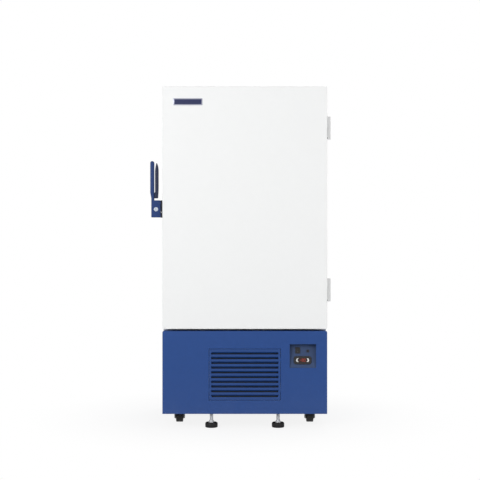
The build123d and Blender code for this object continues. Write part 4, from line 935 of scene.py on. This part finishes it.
# %% Turned outlines
pad_outline = ((0.0, 0.0), (0.030, 0.0), (0.0335, 0.0008), (0.0355, 0.0030), (0.0360, 0.0060),
               (0.0352, 0.0072), (0.0352, 0.0084), (0.0360, 0.0096), (0.0360, 0.0200),
               (0.0354, 0.0245), (0.0335, 0.0278), (0.0295, 0.0297), (0.0200, 0.0300))
cone_outline = ((0.0175, 0.0296), (0.0175, 0.0306), (0.0155, 0.0335), (0.0132, 0.0365),
                (0.0120, 0.0395), (0.0114, 0.0416), (0.0110, 0.0420), (0.0100, 0.0420))
least_radius = 0.0002


def turned(shape, outline, place, count):
    """A turned form from (radius, height) pairs about an upright axis."""
    loops = [circle_loop(max(radius, least_radius), height, count) for radius, height in outline]
    skin(shape, loops, place)


print("pad", len(pad_outline), "rings, cone", len(cone_outline), "rings")

# %% Thread
stud_radius = 0.010
thread_pitch = 0.0025
thread_depth = 0.0013
rows_per_turn = 5
stud_sides = 36


def add_thread(shape, place, low, high):
    """A stud whose radius rises and falls along a helix."""
    count = int((high - low) / thread_pitch * rows_per_turn)
    loops = []
    for row in range(count + 1):
        height = low + (high - low) * row / count
        loop = []
        for side in range(stud_sides):
            phase = (height / thread_pitch - side / stud_sides) % 1.0
            radius = stud_radius - thread_depth * abs(2 * phase - 1)
            angle = 2 * math.pi * side / stud_sides
            loop.append(Vector((radius * math.cos(angle), radius * math.sin(angle), height)))
        loops.append(loop)
    skin(shape, loops, place)


print("thread", thread_pitch * 1000, "mm pitch")

# %% Pads and threaded studs
pad_sides = 64
cone_sides = 48
cone_top = cone_outline[-1][1]
thread_overlap = 0.001
for corner in corners:
    foot_low, foot_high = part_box("foot_" + corner)
    foot_place = Matrix.Translation(((foot_low.x + foot_high.x) / 2,
                                     (foot_low.y + foot_high.y) / 2, 0))
    shape = bmesh.new()
    turned(shape, pad_outline, foot_place, pad_sides)
    pad = make_piece("foot_pad_" + corner, shape, "foot_plastic", "foot_" + corner,
                     crease=30)
    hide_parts("foot_" + corner)
    shape = bmesh.new()
    turned(shape, cone_outline, foot_place, cone_sides)
    add_thread(shape, foot_place, cone_top - thread_overlap, foot_high.z)
    make_piece("foot_stud_" + corner, shape, "foot_zinc", "foot_" + corner,
               crease=50)

# %% [markdown]
# ## Blade of the grip
# Beside the round bar stands a flat blade that the fingers press against. Its outer side bulges,
# its foot is joined to the bar, and its tip leans away from it. A stack of rounded sections, one
# above the other, follows both sides at once, which a single extruded outline can't do.

# %% Sides of the blade
blade_low, blade_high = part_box("handle_inner_grip")
bar_overlap = 0.0003
bar_side = blade_low.x - bar_overlap
blade_gap = 0.005
foot_length = 0.030
blade_bulge = 0.0030
bulge_reach = 0.07
tip_length = 0.045
tip_lean = 0.0075
tip_width = 0.0035
lean_power = 1.5
taper_power = 2.2


def blade_sides(height):
    """Left and right side of the blade at a height, from the bar to the bulge."""
    rise = height - blade_low.z
    drop = blade_high.z - height
    left = bar_side + blade_gap * min(1, max(0, (rise - foot_length) / blade_gap))
    right = blade_high.x - blade_bulge * max(0, 1 - rise / bulge_reach) ** 2
    if drop < tip_length:
        share = 1 - drop / tip_length
        narrowing = blade_high.x - bar_side - blade_gap - tip_lean - tip_width
        left += tip_lean * share ** lean_power
        right -= narrowing * share ** taper_power
    return left, right


print("blade", round(blade_high.z - blade_low.z, 3), "m long")

# %% Grip blade
blade_levels = 60
blade_corner = 0.0055
corner_share = 0.45
end_narrowing = 0.001
end_thinning = 0.003
blade_depth = blade_high.y - blade_low.y
blade_middle_y = (blade_high.y + blade_low.y) / 2
sections = []
for level in range(blade_levels + 1):
    height = blade_low.z + (blade_high.z - blade_low.z) * level / blade_levels
    left, right = blade_sides(height)
    at_end = level in (0, blade_levels)
    width = right - left - (end_narrowing if at_end else 0.0)
    depth = blade_depth - (end_thinning if at_end else 0.0)
    section = rounded_loop(width, depth, min(blade_corner, width * corner_share), height)
    centre = Vector(((left + right) / 2, blade_middle_y, 0))
    sections.append([point + centre for point in section])
shape = bmesh.new()
skin(shape, sections, Matrix.Identity(4))
# Its near-black finish is painted shade for the shadow beside the bar.
blade = make_piece("grip_blade", shape, "handle_navy_painted_shade", "handle", crease=40)
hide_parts("handle_inner_grip")
